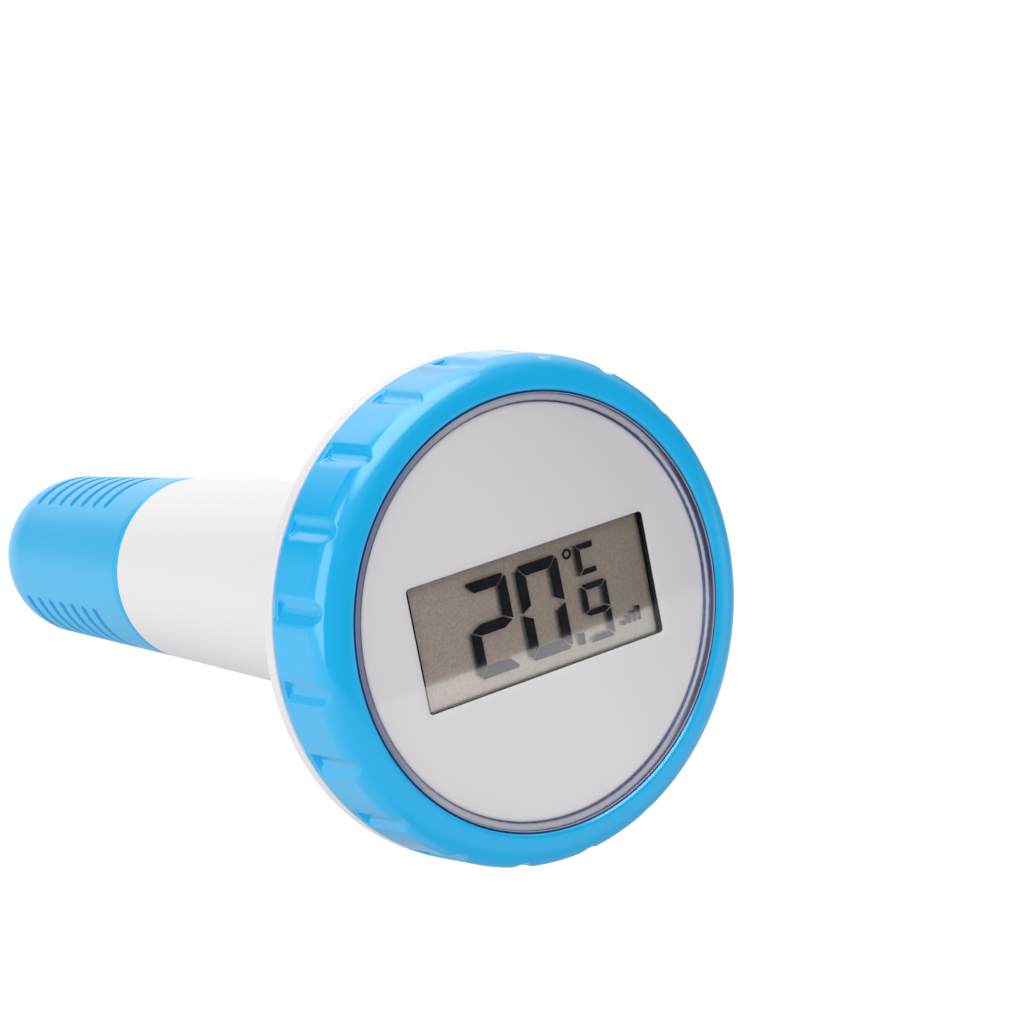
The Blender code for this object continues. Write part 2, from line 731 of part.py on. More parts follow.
def make_circuit_board():
    board = turned(
        "circuit_board",
        [(0, BOARD_BOTTOM), (BOARD_RADIUS, BOARD_BOTTOM), (BOARD_RADIUS, BOARD_TOP), (0, BOARD_TOP)],
        MEDIUM,
        BOARD_BOTTOM,
    )
    shape = bmesh.new()
    for place in screw_places():
        add_cylinder(shape, SCREW_HOLE, BOARD_BOTTOM - OVERLAP, BOARD_TOP + OVERLAP, SMALL, place)
    boolean(board, helper("board_hole_tool", shape), "DIFFERENCE")
    return paint(board, GREEN, 0.4)


def make_board_parts():
    """The pieces soldered to the underside of the board."""
    mount = BOARD_BOTTOM - GAP
    chip = block("controller_chip", CHIP_SIZE, (*CHIP_PLACE, mount - CHIP_SIZE[2] / 2), SMALL_BEVEL)
    shield_centre = (*SHIELD_PLACE, mount - SHIELD_SIZE[2] / 2)
    shield = block("radio_shield", SHIELD_SIZE, shield_centre, EDGE_BEVEL)
    outline = [
        (0, 0),
        (CRYSTAL_RADIUS - SMALL_BEVEL / 2, 0),
        (CRYSTAL_RADIUS, SMALL_BEVEL),
        (CRYSTAL_RADIUS, CRYSTAL_LENGTH),
        (0, CRYSTAL_LENGTH),
    ]
    crystal = turned("timing_crystal", outline, SMALL)
    crystal.location = (*CRYSTAL_PLACE, mount - CRYSTAL_RADIUS)
    crystal.rotation_euler = (0, math.pi / 2, 0)
    socket_centre = (0, CABLE_Y, mount - SOCKET_SIZE[2] / 2)
    socket = block("cable_socket", SOCKET_SIZE, socket_centre, PLUG_BEVEL)
    return [
        paint(chip, BLACK, 0.5),
        paint(shield, STEEL, 0.35, 1.0),
        paint(crystal, STEEL, 0.3, 1.0),
        paint(socket, WHITE, 0.4),
    ]


def make_antenna_coil():
    points = coil_points(COIL_RADIUS, COIL_LENGTH, turns=6, steps=8)
    coil = wire("antenna_coil", points, COIL_WIRE, 0, smooth=False)
    coil.location = (*COIL_PLACE, BOARD_BOTTOM - GAP - COIL_DROP)
    coil.rotation_euler = (0, math.pi / 2, 0)
    return paint(coil, BRASS, 0.3, 1.0)


def make_switch(name, side):
    bottom = BOARD_BOTTOM - GAP - SWITCH_SIZE[2]
    shape = bmesh.new()
    add_box(shape, SWITCH_SIZE, (0, 0, SWITCH_SIZE[2] / 2))
    switch = object_from(name, shape, (side * BUTTON_X, BUTTON_Y, bottom))
    shape = bmesh.new()
    add_cylinder(shape, PLUNGER_RADIUS, SWITCH_PLUNGER - bottom, OVERLAP, SMALL)
    boolean(switch, helper(name + "_plunger_tool", shape, switch.location), "UNION")
    return paint(switch, STEEL, 0.4, 0.6)


def make_button(name, side, colour):
    """A push button that hangs in the module cover by its flange. Its origin is on its travel axis."""
    floor_top = COVER_BOTTOM + COVER_FLOOR
    outline = [
        (0, BUTTON_BOTTOM),
        (BUTTON_RADIUS - EDGE_BEVEL, BUTTON_BOTTOM),
        (BUTTON_RADIUS, BUTTON_BOTTOM + EDGE_BEVEL),
        (BUTTON_RADIUS, floor_top + GAP),
        (BUTTON_FLANGE, floor_top + GAP),
        (BUTTON_FLANGE, BUTTON_TOP),
        (0, BUTTON_TOP),
    ]
    button = turned(name, outline, COARSE, BUTTON_BOTTOM, (side * BUTTON_X, BUTTON_Y))
    return paint(button, colour, 0.35)


def make_module_cover():
    rim = FRAME_BOTTOM - GAP
    floor_top = COVER_BOTTOM + COVER_FLOOR
    outline = [
        (0, COVER_BOTTOM),
        (MODULE_RADIUS - MODULE_CORNER, COVER_BOTTOM),
        (MODULE_RADIUS, COVER_BOTTOM + MODULE_CORNER),
        (MODULE_RADIUS, rim),
        (COVER_BORE, rim),
        (COVER_BORE, floor_top),
        (0, floor_top),
    ]
    cover = turned("module_cover", outline, MEDIUM, COVER_BOTTOM)
    shape = bmesh.new()
    for place in screw_places():
        add_cylinder(shape, BOSS_RADIUS, floor_top - OVERLAP / 2, BOARD_BOTTOM - GAP, SMALL, place)
    boolean(cover, helper("cover_boss_tool", shape), "UNION")
    shape = bmesh.new()
    below = COVER_BOTTOM - OVERLAP
    above = floor_top + OVERLAP
    for place in screw_places():
        add_cylinder(shape, SCREW_HOLE, below, BOARD_TOP, SMALL, place)
    for side in (-1, 1):
        centre = (side * BUTTON_X, BUTTON_Y)
        add_cylinder(shape, BUTTON_RADIUS + GAP, below, above, COARSE, centre)
    add_prism(shape, CABLE_HOLE, MODULE_CORNER, below, above, (0, CABLE_Y), 2)
    add_prism(shape, LEADS_HOLE, MODULE_CORNER, below, above, (0, LEADS_Y), 2)
    boolean(cover, helper("cover_hole_tool", shape), "DIFFERENCE")
    return paint(cover, WHITE, 0.45)


def make_module_screw(name, place):
    head_bottom = COVER_BOTTOM - GAP - SCREW_HEAD_HEIGHT
    shoulder = COVER_BOTTOM - GAP
    outline = [
        (0, head_bottom),
        (SCREW_HEAD - EDGE_BEVEL, head_bottom),
        (SCREW_HEAD, head_bottom + EDGE_BEVEL),
        (SCREW_HEAD, shoulder),
        (SCREW_SHANK, shoulder),
        (SCREW_SHANK, shoulder + SCREW_LENGTH - SCREW_SHANK),
        (0, shoulder + SCREW_LENGTH),
    ]
    screw = turned(name, outline, SMALL, head_bottom, place)
    shape = bmesh.new()
    add_box(shape, SCREW_SLOT, (0, 0, 0))
    boolean(screw, helper(name + "_slot_tool", shape, screw.location), "DIFFERENCE")
    return paint(screw, STEEL, 0.3, 1.0)


# ---------------------------------------------------------------- battery pack

def pack_top():
    return PACK_FLOOR + PACK_CAVITY


def make_battery_holder():
    low = PACK_FLOOR - PACK_PLATE
    high = pack_top() + PACK_PLATE
    depth = PACK_FRONT - PACK_BACK
    middle = (PACK_FRONT + PACK_BACK) / 2
    shape = bmesh.new()
    add_prism(shape, (2 * PACK_HALF_WIDTH, depth), PACK_CORNER, low, high, (0, middle))
    holder = object_from("battery_holder", shape)
    shape = bmesh.new()
    foot_bottom = BALLAST_TOP + GAP
    foot_top = low + OVERLAP
    for side in (-1, 1):
        foot = (side * FOOT_X, middle, (foot_bottom + foot_top) / 2)
        add_box(shape, (*FOOT_SIZE, foot_top - foot_bottom), foot)
    boolean(holder, helper("holder_foot_tool", shape), "UNION")
    shape = bmesh.new()
    for side in (-1, 1):
        bed = (side * CELL_SPREAD, 0)
        add_cylinder(shape, CELL_RADIUS + CELL_CLEARANCE, PACK_FLOOR, pack_top(), COARSE, bed)
    boolean(holder, helper("cell_bed_tool", shape), "DIFFERENCE")
    shape = bmesh.new()
    cavity_middle = (PACK_FLOOR + pack_top()) / 2
    add_box(shape, HOLDER_FRONT_SIZE, (0, 0, cavity_middle))
    boolean(holder, helper("holder_front_tool", shape), "DIFFERENCE")
    shape = bmesh.new()
    for side in (-1, 1):
        tab = (side * CELL_SPREAD, TAB_Y, pack_top() + PACK_PLATE / 2)
        add_box(shape, TAB_SLOT, tab)
    boolean(holder, helper("holder_tab_tool", shape), "DIFFERENCE")
    return paint(holder, BLACK, 0.5)


def make_battery(name, side, bottom, button_down):
    """A cell whose button end is up, turned over when button_down is true."""
    edge_width, edge_height = CELL_EDGE
    can_top = CELL_LENGTH - CELL_BUTTON_HEIGHT
    outline = [
        (0, 0),
        (CELL_RADIUS - edge_width, 0),
        (CELL_RADIUS, edge_height),
        (CELL_RADIUS, can_top - edge_height),
        (CELL_RADIUS - edge_width, can_top),
        (CELL_BUTTON_RADIUS, can_top),
        (CELL_BUTTON_RADIUS, CELL_LENGTH),
        (0, CELL_LENGTH),
    ]
    cell = turned(name, outline, COARSE, 0, (side * CELL_SPREAD, 0))
    cell.location.z = bottom + (CELL_LENGTH if button_down else 0)
    cell.rotation_euler = (math.pi if button_down else 0, 0, 0)
    return paint(cell, CELL_GREEN, 0.3, 0.4)


def make_battery_spring(name, side, bottom):
    height = SPRING_LENGTH - 2 * SPRING_WIRE
    points = coil_points(SPRING_RADIUS, height, turns=3, steps=10, taper=0.65)
    place = (side * CELL_SPREAD, 0, bottom + SPRING_WIRE)
    spring = wire(name, points, SPRING_WIRE, 0, place, smooth=False)
    return paint(spring, STEEL, 0.25, 1.0)


def make_end_contact(name, side):
    """A contact plate under the top of the holder, with a tab that goes up through it."""
    centre_z = pack_top() - CONTACT_THICKNESS / 2 - CONTACT_GAP
    shape = bmesh.new()
    add_box(shape, CONTACT_SIZE, (0, 0, 0))
    contact = object_from(name, shape, (side * CELL_SPREAD, 0, centre_z))
    shape = bmesh.new()
    add_box(shape, TAB_SIZE, (0, TAB_Y, TAB_SIZE[2] / 2))
    boolean(contact, helper(name + "_tab_tool", shape, contact.location), "UNION")
    return paint(contact, STEEL, 0.25, 1.0)


def make_bridge_contact():
    centre_z = PACK_FLOOR + CONTACT_GAP + CONTACT_THICKNESS / 2
    bridge = block("bridge_contact", BRIDGE_SIZE, (0, BRIDGE_Y, centre_z), SMALL_BEVEL / 2)
    return paint(bridge, STEEL, 0.25, 1.0)


def make_batteries():
    """Two cells in series, one each way up, between the contacts and springs of the holder."""
    floor = PACK_FLOOR + CONTACT_THICKNESS + 2 * CONTACT_GAP
    raised = floor + SPRING_LENGTH + CONTACT_GAP
    return [
        make_battery("battery_1", -1, floor, True),
        make_battery("battery_2", 1, raised, False),
        make_battery_spring("battery_spring_1", -1, floor + CELL_LENGTH + CONTACT_GAP),
        make_battery_spring("battery_spring_2", 1, floor),
        make_end_contact("negative_contact", -1),
        make_end_contact("positive_contact", 1),
        make_bridge_contact(),
    ]


def make_battery_lead(name, side, colour):
    tab = (side * CELL_SPREAD, TAB_Y, pack_top() + LEAD_START)
    pad = (side * LEADS_X, LEADS_Y, BOARD_BOTTOM - GAP)
    lower_bend, upper_bend = LEAD_BEND_HEIGHTS
    points = [
        tab,
        (tab[0], tab[1], tab[2] + LEAD_RISE),
        (pad[0], pad[1] - LEAD_SLACK, pad[2] - lower_bend),
        (pad[0], pad[1], pad[2] - upper_bend),
        pad,
    ]
    return paint(wire(name, points, LEAD_RADIUS, 1), colour, 0.4)


# ---------------------------------------------------------------- ballast, probe and cable

def make_ballast_weight():
    outline = [
        (BALLAST_BORE, BALLAST_BOTTOM),
        (BALLAST_RADIUS - BALLAST_BEVEL, BALLAST_BOTTOM),
        (BALLAST_RADIUS, BALLAST_BOTTOM + BALLAST_BEVEL),
        (BALLAST_RADIUS, BALLAST_TOP - BALLAST_BEVEL),
        (BALLAST_RADIUS - BALLAST_BEVEL, BALLAST_TOP),
        (BALLAST_BORE, BALLAST_TOP),
    ]
    return paint(turned("ballast_weight", outline, COARSE, BALLAST_BOTTOM), STEEL, 0.4, 1.0)


def make_probe_holder():
    bottom = PROBE_HOLDER_BOTTOM
    top = bottom + PROBE_HOLDER_HEIGHT
    outline = [
        (PROBE_RADIUS + GAP, bottom),
        (SPIGOT_BORE - GAP, bottom),
        (SPIGOT_BORE - GAP, bottom + PROBE_HOLDER_RIM),
        (PROBE_HOLDER_TOP_RADIUS, top),
        (PROBE_RADIUS + GAP, top),
    ]
    return paint(turned("probe_holder", outline, COARSE, bottom), RUBBER_GREY, 0.6)


def make_sensor_probe():
    tip = arc_points((0, PROBE_TIP + PROBE_RADIUS), (PROBE_RADIUS, PROBE_RADIUS), -math.pi / 2, 0, 4)
    tip[0] = (0, PROBE_TIP)
    outline = [
        *tip,
        (PROBE_RADIUS, PROBE_TOP - EDGE_BEVEL),
        (PROBE_RADIUS - EDGE_BEVEL, PROBE_TOP),
        (0, PROBE_TOP),
    ]
    return paint(turned("sensor_probe", outline, COARSE, PROBE_TIP), STEEL, 0.2, 1.0)


def make_heat_cup():
    """A metal thimble between the cap's nose and the probe tip, free to turn in its socket."""
    bottom = CAP_FLOOR + GAP
    top = SOCKET_TOP - CUP_SINK
    inner = PROBE_RADIUS + CUP_CLEARANCE
    outer = SOCKET_BORE - GAP
    outline = [
        (0, bottom),
        (outer, bottom),
        (outer, top),
        (inner, top),
        (inner, PROBE_TIP - GAP),
        (0, PROBE_TIP - GAP),
    ]
    return paint(turned("heat_cup", outline, COARSE, bottom), BRASS, 0.25, 1.0)


def make_sensor_cable():
    start = PROBE_TOP + GAP
    points = [
        (0, 0, start),
        (0, 0, start + CABLE_RISE),
        (0, 0, BALLAST_TOP + CABLE_RADIUS),
        (0, CABLE_PACK_Y, PACK_FLOOR - CABLE_PACK_BEND),
        (0, CABLE_PACK_Y, PACK_FLOOR + CABLE_PACK_RUN),
        (0, CABLE_PACK_Y, pack_top()),
        (0, CABLE_Y, pack_top() + CABLE_RISE),
        (0, CABLE_Y, PLUG_BOTTOM - GAP),
    ]
    return paint(wire("sensor_cable", points, CABLE_RADIUS, 2), CABLE_BLACK, 0.5)


def make_cable_plug():
    top = BOARD_BOTTOM - 2 * GAP - SOCKET_SIZE[2]
    size = (*PLUG_SIZE, top - PLUG_BOTTOM)
    plug = block("cable_plug", size, (0, CABLE_Y, (PLUG_BOTTOM + top) / 2), PLUG_BEVEL)
    return paint(plug, IVORY, 0.45)


# ---------------------------------------------------------------- foot

def make_end_cap():
    rim = CAP_HEIGHT - GAP
    dome = [
        (cap_radius(height), height)
        for height in (
            CAP_DOME_HEIGHT * (1 - math.sin((1 - step / CAP_DOME_STEPS) * math.pi / 2))
            for step in range(1, CAP_DOME_STEPS + 1)
        )
    ]
    inner_dome = []
    for step in range(CAP_INNER_STEPS):
        depth = math.sin((1 - step / CAP_INNER_STEPS) * math.pi / 2)
        height = CAP_DOME_HEIGHT - (CAP_DOME_HEIGHT - CAP_FLOOR) * depth
        radius = CAP_INNER_RADIUS * (1 - depth ** DOME_POWER) ** (1 / DOME_POWER)
        if radius > SOCKET_RADIUS + SOCKET_DRAFT:
            inner_dome.append((radius, height))
    outline = [
        (0, 0),
        *dome,
        (cap_radius(rim), rim),
        (CAP_SEAL_BORE, rim),
        (CAP_SEAL_BORE, rim - CAP_SEAL_DEPTH),
        (CAP_BORE, rim - CAP_SEAL_DEPTH),
        (CAP_BORE, CAP_STEP_HEIGHT + CAP_STEP_BEVEL),
        (CAP_INNER_RADIUS, CAP_STEP_HEIGHT),
        (CAP_INNER_RADIUS, CAP_DOME_HEIGHT),
        *reversed(inner_dome),
        (SOCKET_RADIUS + SOCKET_DRAFT, CAP_FLOOR + SOCKET_ROOT),
        (SOCKET_RADIUS, CAP_FLOOR + 2 * SOCKET_ROOT),
        (SOCKET_RADIUS - SOCKET_DRAFT, SOCKET_TOP),
        (SOCKET_BORE, SOCKET_TOP),
        (SOCKET_BORE, CAP_FLOOR),
        (0, CAP_FLOOR),
    ]
    cap = turned("end_cap", outline, FINE)
    ridge = thread_ridge(
        "cap_thread_tool",
        CAP_BORE,
        CAP_BORE - CAP_THREAD_HEIGHT,
        CAP_PITCH,
        CAP_THREAD_TURNS,
        CAP_THREAD_START + CAP_PITCH / 2,
        (CAP_THREAD_ROOT_WIDTH, CAP_THREAD_CREST_WIDTH),
        FINE,
    )
    boolean(cap, ridge, "UNION")
    boolean(cap, groove_tool(), "DIFFERENCE")
    return paint(cap, BLUE, 0.28)


def groove_tool():
    """Arcs that cut the two stacks of finger grooves on opposite sides of the cap."""
    shape = bmesh.new()
    for centre in GROOVE_CENTRES:
        for groove in range(GROOVES):
            height = GROOVE_TOP - groove * GROOVE_SPACING
            floor = cap_radius(height) - GROOVE_DEPTH
            outer = cap_radius(height) + GROOVE_CUTTER_REACH
            section = (
                (outer, height - GROOVE_WIDTH / 2),
                (outer, height + GROOVE_WIDTH / 2),
                (floor, height + GROOVE_WIDTH / 3),
                (floor, height - GROOVE_WIDTH / 3),
            )
            turn = Matrix.Rotation(centre - GROOVE_HALF_ANGLE, 3, "Z")
            points = [shape.verts.new(turn @ Vector((radius, 0, z))) for radius, z in section]
            bmesh.ops.spin(
                shape,
                geom=[shape.faces.new(points)],
                cent=(0, 0, 0),
                axis=(0, 0, 1),
                angle=2 * GROOVE_HALF_ANGLE,
                steps=GROOVE_STEPS,
                use_duplicate=False,
            )
    return helper("groove_tool", shape)


def make_cap_gasket():
    """An O-ring round the root of the spigot, under the body's shoulder."""
    outline = []
    for side in range(CAP_SEAL_SIDES):
        angle = side * math.tau / CAP_SEAL_SIDES
        outline.append((
            CAP_SEAL_RADIUS + CAP_SEAL_SECTION * math.cos(angle),
            CAP_SEAL_HEIGHT + CAP_SEAL_SECTION * math.sin(angle),
        ))
    return paint(turned("cap_gasket", outline, MEDIUM, CAP_SEAL_HEIGHT), RUBBER_GREY, 0.55)


# ---------------------------------------------------------------- assembly

def build_head():
    ring_axis = group("ring_axis", (0, 0, RING_BACK))
    attach(ring_axis, make_locking_ring(), make_lens())
    make_lens_gasket()
    make_float_body()


def build_display_module():
    module = group("display_module", (0, 0, BOARD_BOTTOM))
    attach(
        module,
        make_dial_plate(),
        make_lcd_gasket(),
        make_lcd_glass(),
        make_lcd_reflector(),
        make_zebra_strip(),
        make_display_frame(),
        make_circuit_board(),
        *make_board_parts(),
        make_antenna_coil(),
        make_module_cover(),
        make_button("channel_button", -1, BUTTON_DARK),
        make_button("unit_button", 1, BUTTON_GREY),
    )
    make_switch("channel_switch", -1)
    make_switch("unit_switch", 1)
    for number, place in enumerate(screw_places(), 1):
        make_module_screw(f"module_screw_{number}", place)


def build_battery_pack():
    pack = group("battery_pack", (0, 0, PACK_FLOOR))
    attach(pack, *make_batteries()[:4])
    make_battery_holder()
    make_battery_lead("battery_lead_red", 1, RED)
    make_battery_lead("battery_lead_black", -1, BLACK)


def build_foot():
    cap_axis = group("cap_axis", (0, 0, CAP_HEIGHT))
    attach(cap_axis, make_end_cap(), make_heat_cup())
    make_cap_gasket()
    make_ballast_weight()
    make_probe_holder()
    make_sensor_probe()
    make_sensor_cable()
    make_cable_plug()


clear_scene()
build_head()
build_display_module()
build_battery_pack()
build_foot()
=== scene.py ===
"""Looks for the floating pool thermometer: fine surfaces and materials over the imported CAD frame.

Metres, +Z up, in the frame of the CAD. Outlines are (radius, height) or (radius, height, rounding)
in millimetres, and each height is measured from the nose of the end cap.
"""

import json
import math

import bmesh
import bpy
import numpy as np
from mathutils import Matrix, Vector


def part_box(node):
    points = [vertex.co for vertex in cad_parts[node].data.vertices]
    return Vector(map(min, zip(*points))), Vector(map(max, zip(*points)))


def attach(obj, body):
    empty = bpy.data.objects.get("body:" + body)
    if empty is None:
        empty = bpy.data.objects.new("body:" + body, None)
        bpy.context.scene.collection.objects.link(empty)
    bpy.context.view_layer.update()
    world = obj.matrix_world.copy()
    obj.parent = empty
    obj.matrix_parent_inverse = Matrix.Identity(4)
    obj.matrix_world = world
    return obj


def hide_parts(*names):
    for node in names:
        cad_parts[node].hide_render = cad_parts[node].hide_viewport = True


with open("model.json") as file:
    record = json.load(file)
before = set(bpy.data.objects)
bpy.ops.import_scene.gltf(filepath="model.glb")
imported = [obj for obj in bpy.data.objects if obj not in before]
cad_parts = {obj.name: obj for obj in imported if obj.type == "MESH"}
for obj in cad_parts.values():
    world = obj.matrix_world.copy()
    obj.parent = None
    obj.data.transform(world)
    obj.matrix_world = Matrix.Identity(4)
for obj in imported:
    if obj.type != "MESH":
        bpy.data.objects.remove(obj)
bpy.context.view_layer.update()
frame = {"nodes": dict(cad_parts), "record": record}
nodes = frame["nodes"]

MM = 0.001
TAU = math.tau


def span(node):
    """(radius, bottom, top) of a node's box in millimetres."""
    low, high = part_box(node)
    return high.x / MM, low.z / MM, high.z / MM


# ---------------------------------------------------------------- shared sizes

RING_RADIUS, RING_BACK, RING_TOP = span("locking_ring")
LENS_RADIUS = 40.23
LENS_BORE = 38.3
PLATE_RADIUS = 38.25
WINDOW_SIZE = (53.7, 23.4)
WINDOW_CENTRE = (0.3, 0.0)
WINDOW_CORNER = 0.8
SHOULDER = 65.2
TUBE_END_RADIUS = 19.0
NECK_THREAD = {"pitch": 4.0, "turns": 1.25, "root_width": 1.5, "crest_width": 0.8}
SPIGOT_THREAD = {"pitch": 3.0, "turns": 1.75, "root_width": 1.1, "crest_width": 0.6}


# ---------------------------------------------------------------- meshes

def lathe(outline, segments=96, angles=None, shape=None):
    """(points, faces) of a closed outline turned round Z.

    shape(radius, height, angle) may move the points before they are placed.
    """
    outline = np.array(outline, float)
    after = np.roll(outline, -1, axis=0)
    if (outline[:, 0] * after[:, 1] - after[:, 0] * outline[:, 1]).sum() < 0:
        outline = outline[::-1]
    if angles is None:
        angles = np.linspace(0, TAU, segments, endpoint=False)
    radius, angle = np.meshgrid(outline[:, 0], angles)
    height = np.meshgrid(outline[:, 1], angles)[0]
    if shape:
        radius, height = shape(radius, height, angle)
    points = np.stack([radius * np.cos(angle), radius * np.sin(angle), height], -1).reshape(-1, 3)
    rows, steps = len(angles), len(outline)
    row, step = np.meshgrid(np.arange(rows), np.arange(steps), indexing="ij")
    next_row, next_step = (row + 1) % rows, (step + 1) % steps
    corners = (
        row * steps + step,
        next_row * steps + step,
        next_row * steps + next_step,
        row * steps + next_step,
    )
    return points, np.stack(corners, -1).reshape(-1, 4)


def fillet(outline, steps=4):
    """Turns a closed outline of (radius, height, rounding) into points, with its corners rounded."""
    points = []
    for place, (x, z, *rounding) in enumerate(outline):
        here = Vector((x, z))
        if not rounding:
            points.append(here)
            continue
        back = (Vector(outline[place - 1][:2]) - here).normalized()
        on = (Vector(outline[(place + 1) % len(outline)][:2]) - here).normalized()
        half = back.angle(on) / 2
        centre = here + (back + on).normalized() * rounding[0] / math.sin(half)
        first = here + back * rounding[0] / math.tan(half) - centre
        turn = first.angle_signed(here + on * rounding[0] / math.tan(half) - centre)
        for step in range(steps + 1):
            points.append(centre + Matrix.Rotation(-turn * step / steps, 2) @ first)
    return [tuple(point) for point in points]


THREAD_STEPS = 64
THREAD_FADE = 14
FOOT_SINK = 0.4
CREST_SHOULDER = 0.2
CREST_WIDEN = 0.08
CREST_NARROW = 0.1
RUN_OUT_WIDTH = 0.35


def thread(root, crest, pitch, turns, start, root_width, crest_width):
    """(points, faces) of a helical ridge with a rounded crest, which runs out at both ends.

    Its foot sinks into the wall that carries it, and its crest narrows as it runs out.
    """
    outward = 1 if crest > root else -1
    foot = root - outward * FOOT_SINK
    root_half = root_width / 2
    count = round(turns * THREAD_STEPS) + 1
    loops = []
    for step in range(count):
        share = (step + 1) / THREAD_STEPS
        angle = share * TAU
        end = min(step, count - 1 - step, THREAD_FADE) / THREAD_FADE
        rise = math.sqrt(max(0.0, 1 - (1 - end) ** 2))
        tip = root + (crest - root) * rise
        shoulder = tip - outward * CREST_SHOULDER * rise
        crest_half = crest_width / 2 * (RUN_OUT_WIDTH + (1 - RUN_OUT_WIDTH) * rise)
        section = (
            (foot, -root_half),
            (root, -root_half),
            (shoulder, -crest_half - CREST_WIDEN),
            (tip, -crest_half + CREST_NARROW),
            (tip, crest_half - CREST_NARROW),
            (shoulder, crest_half + CREST_WIDEN),
            (root, root_half),
            (foot, root_half),
        )
        loops += [
            (radius * math.cos(angle), radius * math.sin(angle), start + pitch * share + offset)
            for radius, offset in section
        ]
    sides = len(section)
    faces = [tuple(range(sides)), tuple(range((count - 1) * sides, count * sides))]
    for step in range(count - 1):
        for side in range(sides):
            low, high = step * sides, (step + 1) * sides
            after = (side + 1) % sides
            faces.append((low + side, low + after, high + after, high + side))
    return loops, faces


def rounded_loop(size, corner, grow=0.0, centre=(0, 0)):
    """Points round a rectangle with rounded corners, grown outwards by grow."""
    half = (size[0] / 2 - corner, size[1] / 2 - corner)
    steps = 6
    points = []
    for quarter, sign in enumerate(((1, 1), (-1, 1), (-1, -1), (1, -1))):
        for step in range(steps + 1):
            angle = (quarter + step / steps) * math.pi / 2
            points.append((
                centre[0] + sign[0] * half[0] + (corner + grow) * math.cos(angle),
                centre[1] + sign[1] * half[1] + (corner + grow) * math.sin(angle),
            ))
    return points


def loft(loops, closed=False, caps=(False, False)):
    """(points, faces) of quads between loops of equal length, each loop a list of (x, y, z)."""
    count = len(loops[0])
    points = [point for loop in loops for point in loop]
    faces = []
    pairs = len(loops) if closed else len(loops) - 1
    for level in range(pairs):
        low, high = level * count, (level + 1) % len(loops) * count
        for side in range(count):
            after = (side + 1) % count
            faces.append((low + side, low + after, high + after, high + side))
    if caps[0]:
        faces.append(tuple(reversed(range(count))))
    if caps[1]:
        faces.append(tuple(range((len(loops) - 1) * count, len(loops) * count)))
    return points, faces


def lift(loop, height):
    return [(x, y, height) for x, y in loop]


def prism(loop, bottom, top, edge=0.0):
    """(points, faces) of a prism over a convex loop, with its upper and lower edges chamfered."""
    if not edge:
        return loft([lift(loop, bottom), lift(loop, top)], caps=(True, True))
    inner = inset(loop, edge)
    levels = [lift(inner, bottom), lift(loop, bottom + edge), lift(loop, top - edge), lift(inner, top)]
    return loft(levels, caps=(True, True))


def inset(loop, distance):
    """A convex loop moved inwards by distance. Its points run counter-clockwise."""
    moved = []
    count = len(loop)
    for place in range(count):
        here = Vector(loop[place])
        back = (here - Vector(loop[place - 1])).normalized()
        on = (Vector(loop[(place + 1) % count]) - here).normalized()
        inward = Vector((-back.y, back.x)) + Vector((-on.y, on.x))
        share = inward.length_squared / 2
        moved.append(tuple(here + inward * distance / share))
    return moved


MERGE_DISTANCE = 1e-7


def piece(name, parts, body, material, stands_for=(), sharp=35):
    """One named object from (points, faces) parts in millimetres, riding on a CAD body.

    Edges that turn by more than sharp degrees are shaded sharp.
    """
    points, faces = [], []
    for part_points, part_faces in parts:
        base = len(points)
        points += [tuple(float(v) * MM for v in point) for point in part_points]
        faces += [tuple(int(corner) + base for corner in face) for face in part_faces]
    mesh = bpy.data.meshes.new(name)
    mesh.from_pydata(points, [], faces)
    shape = bmesh.new()
    shape.from_mesh(mesh)
    bmesh.ops.remove_doubles(shape, verts=shape.verts, dist=MERGE_DISTANCE)
    shape.to_mesh(mesh)
    shape.free()
    mesh.shade_smooth()
    mesh.set_sharp_from_angle(angle=math.radians(sharp))
    mesh.materials.append(material)
    item = bpy.data.objects.new(name, mesh)
    bpy.context.scene.collection.objects.link(item)
    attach(item, body)
    if stands_for:
        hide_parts(*stands_for)


# ---------------------------------------------------------------- materials

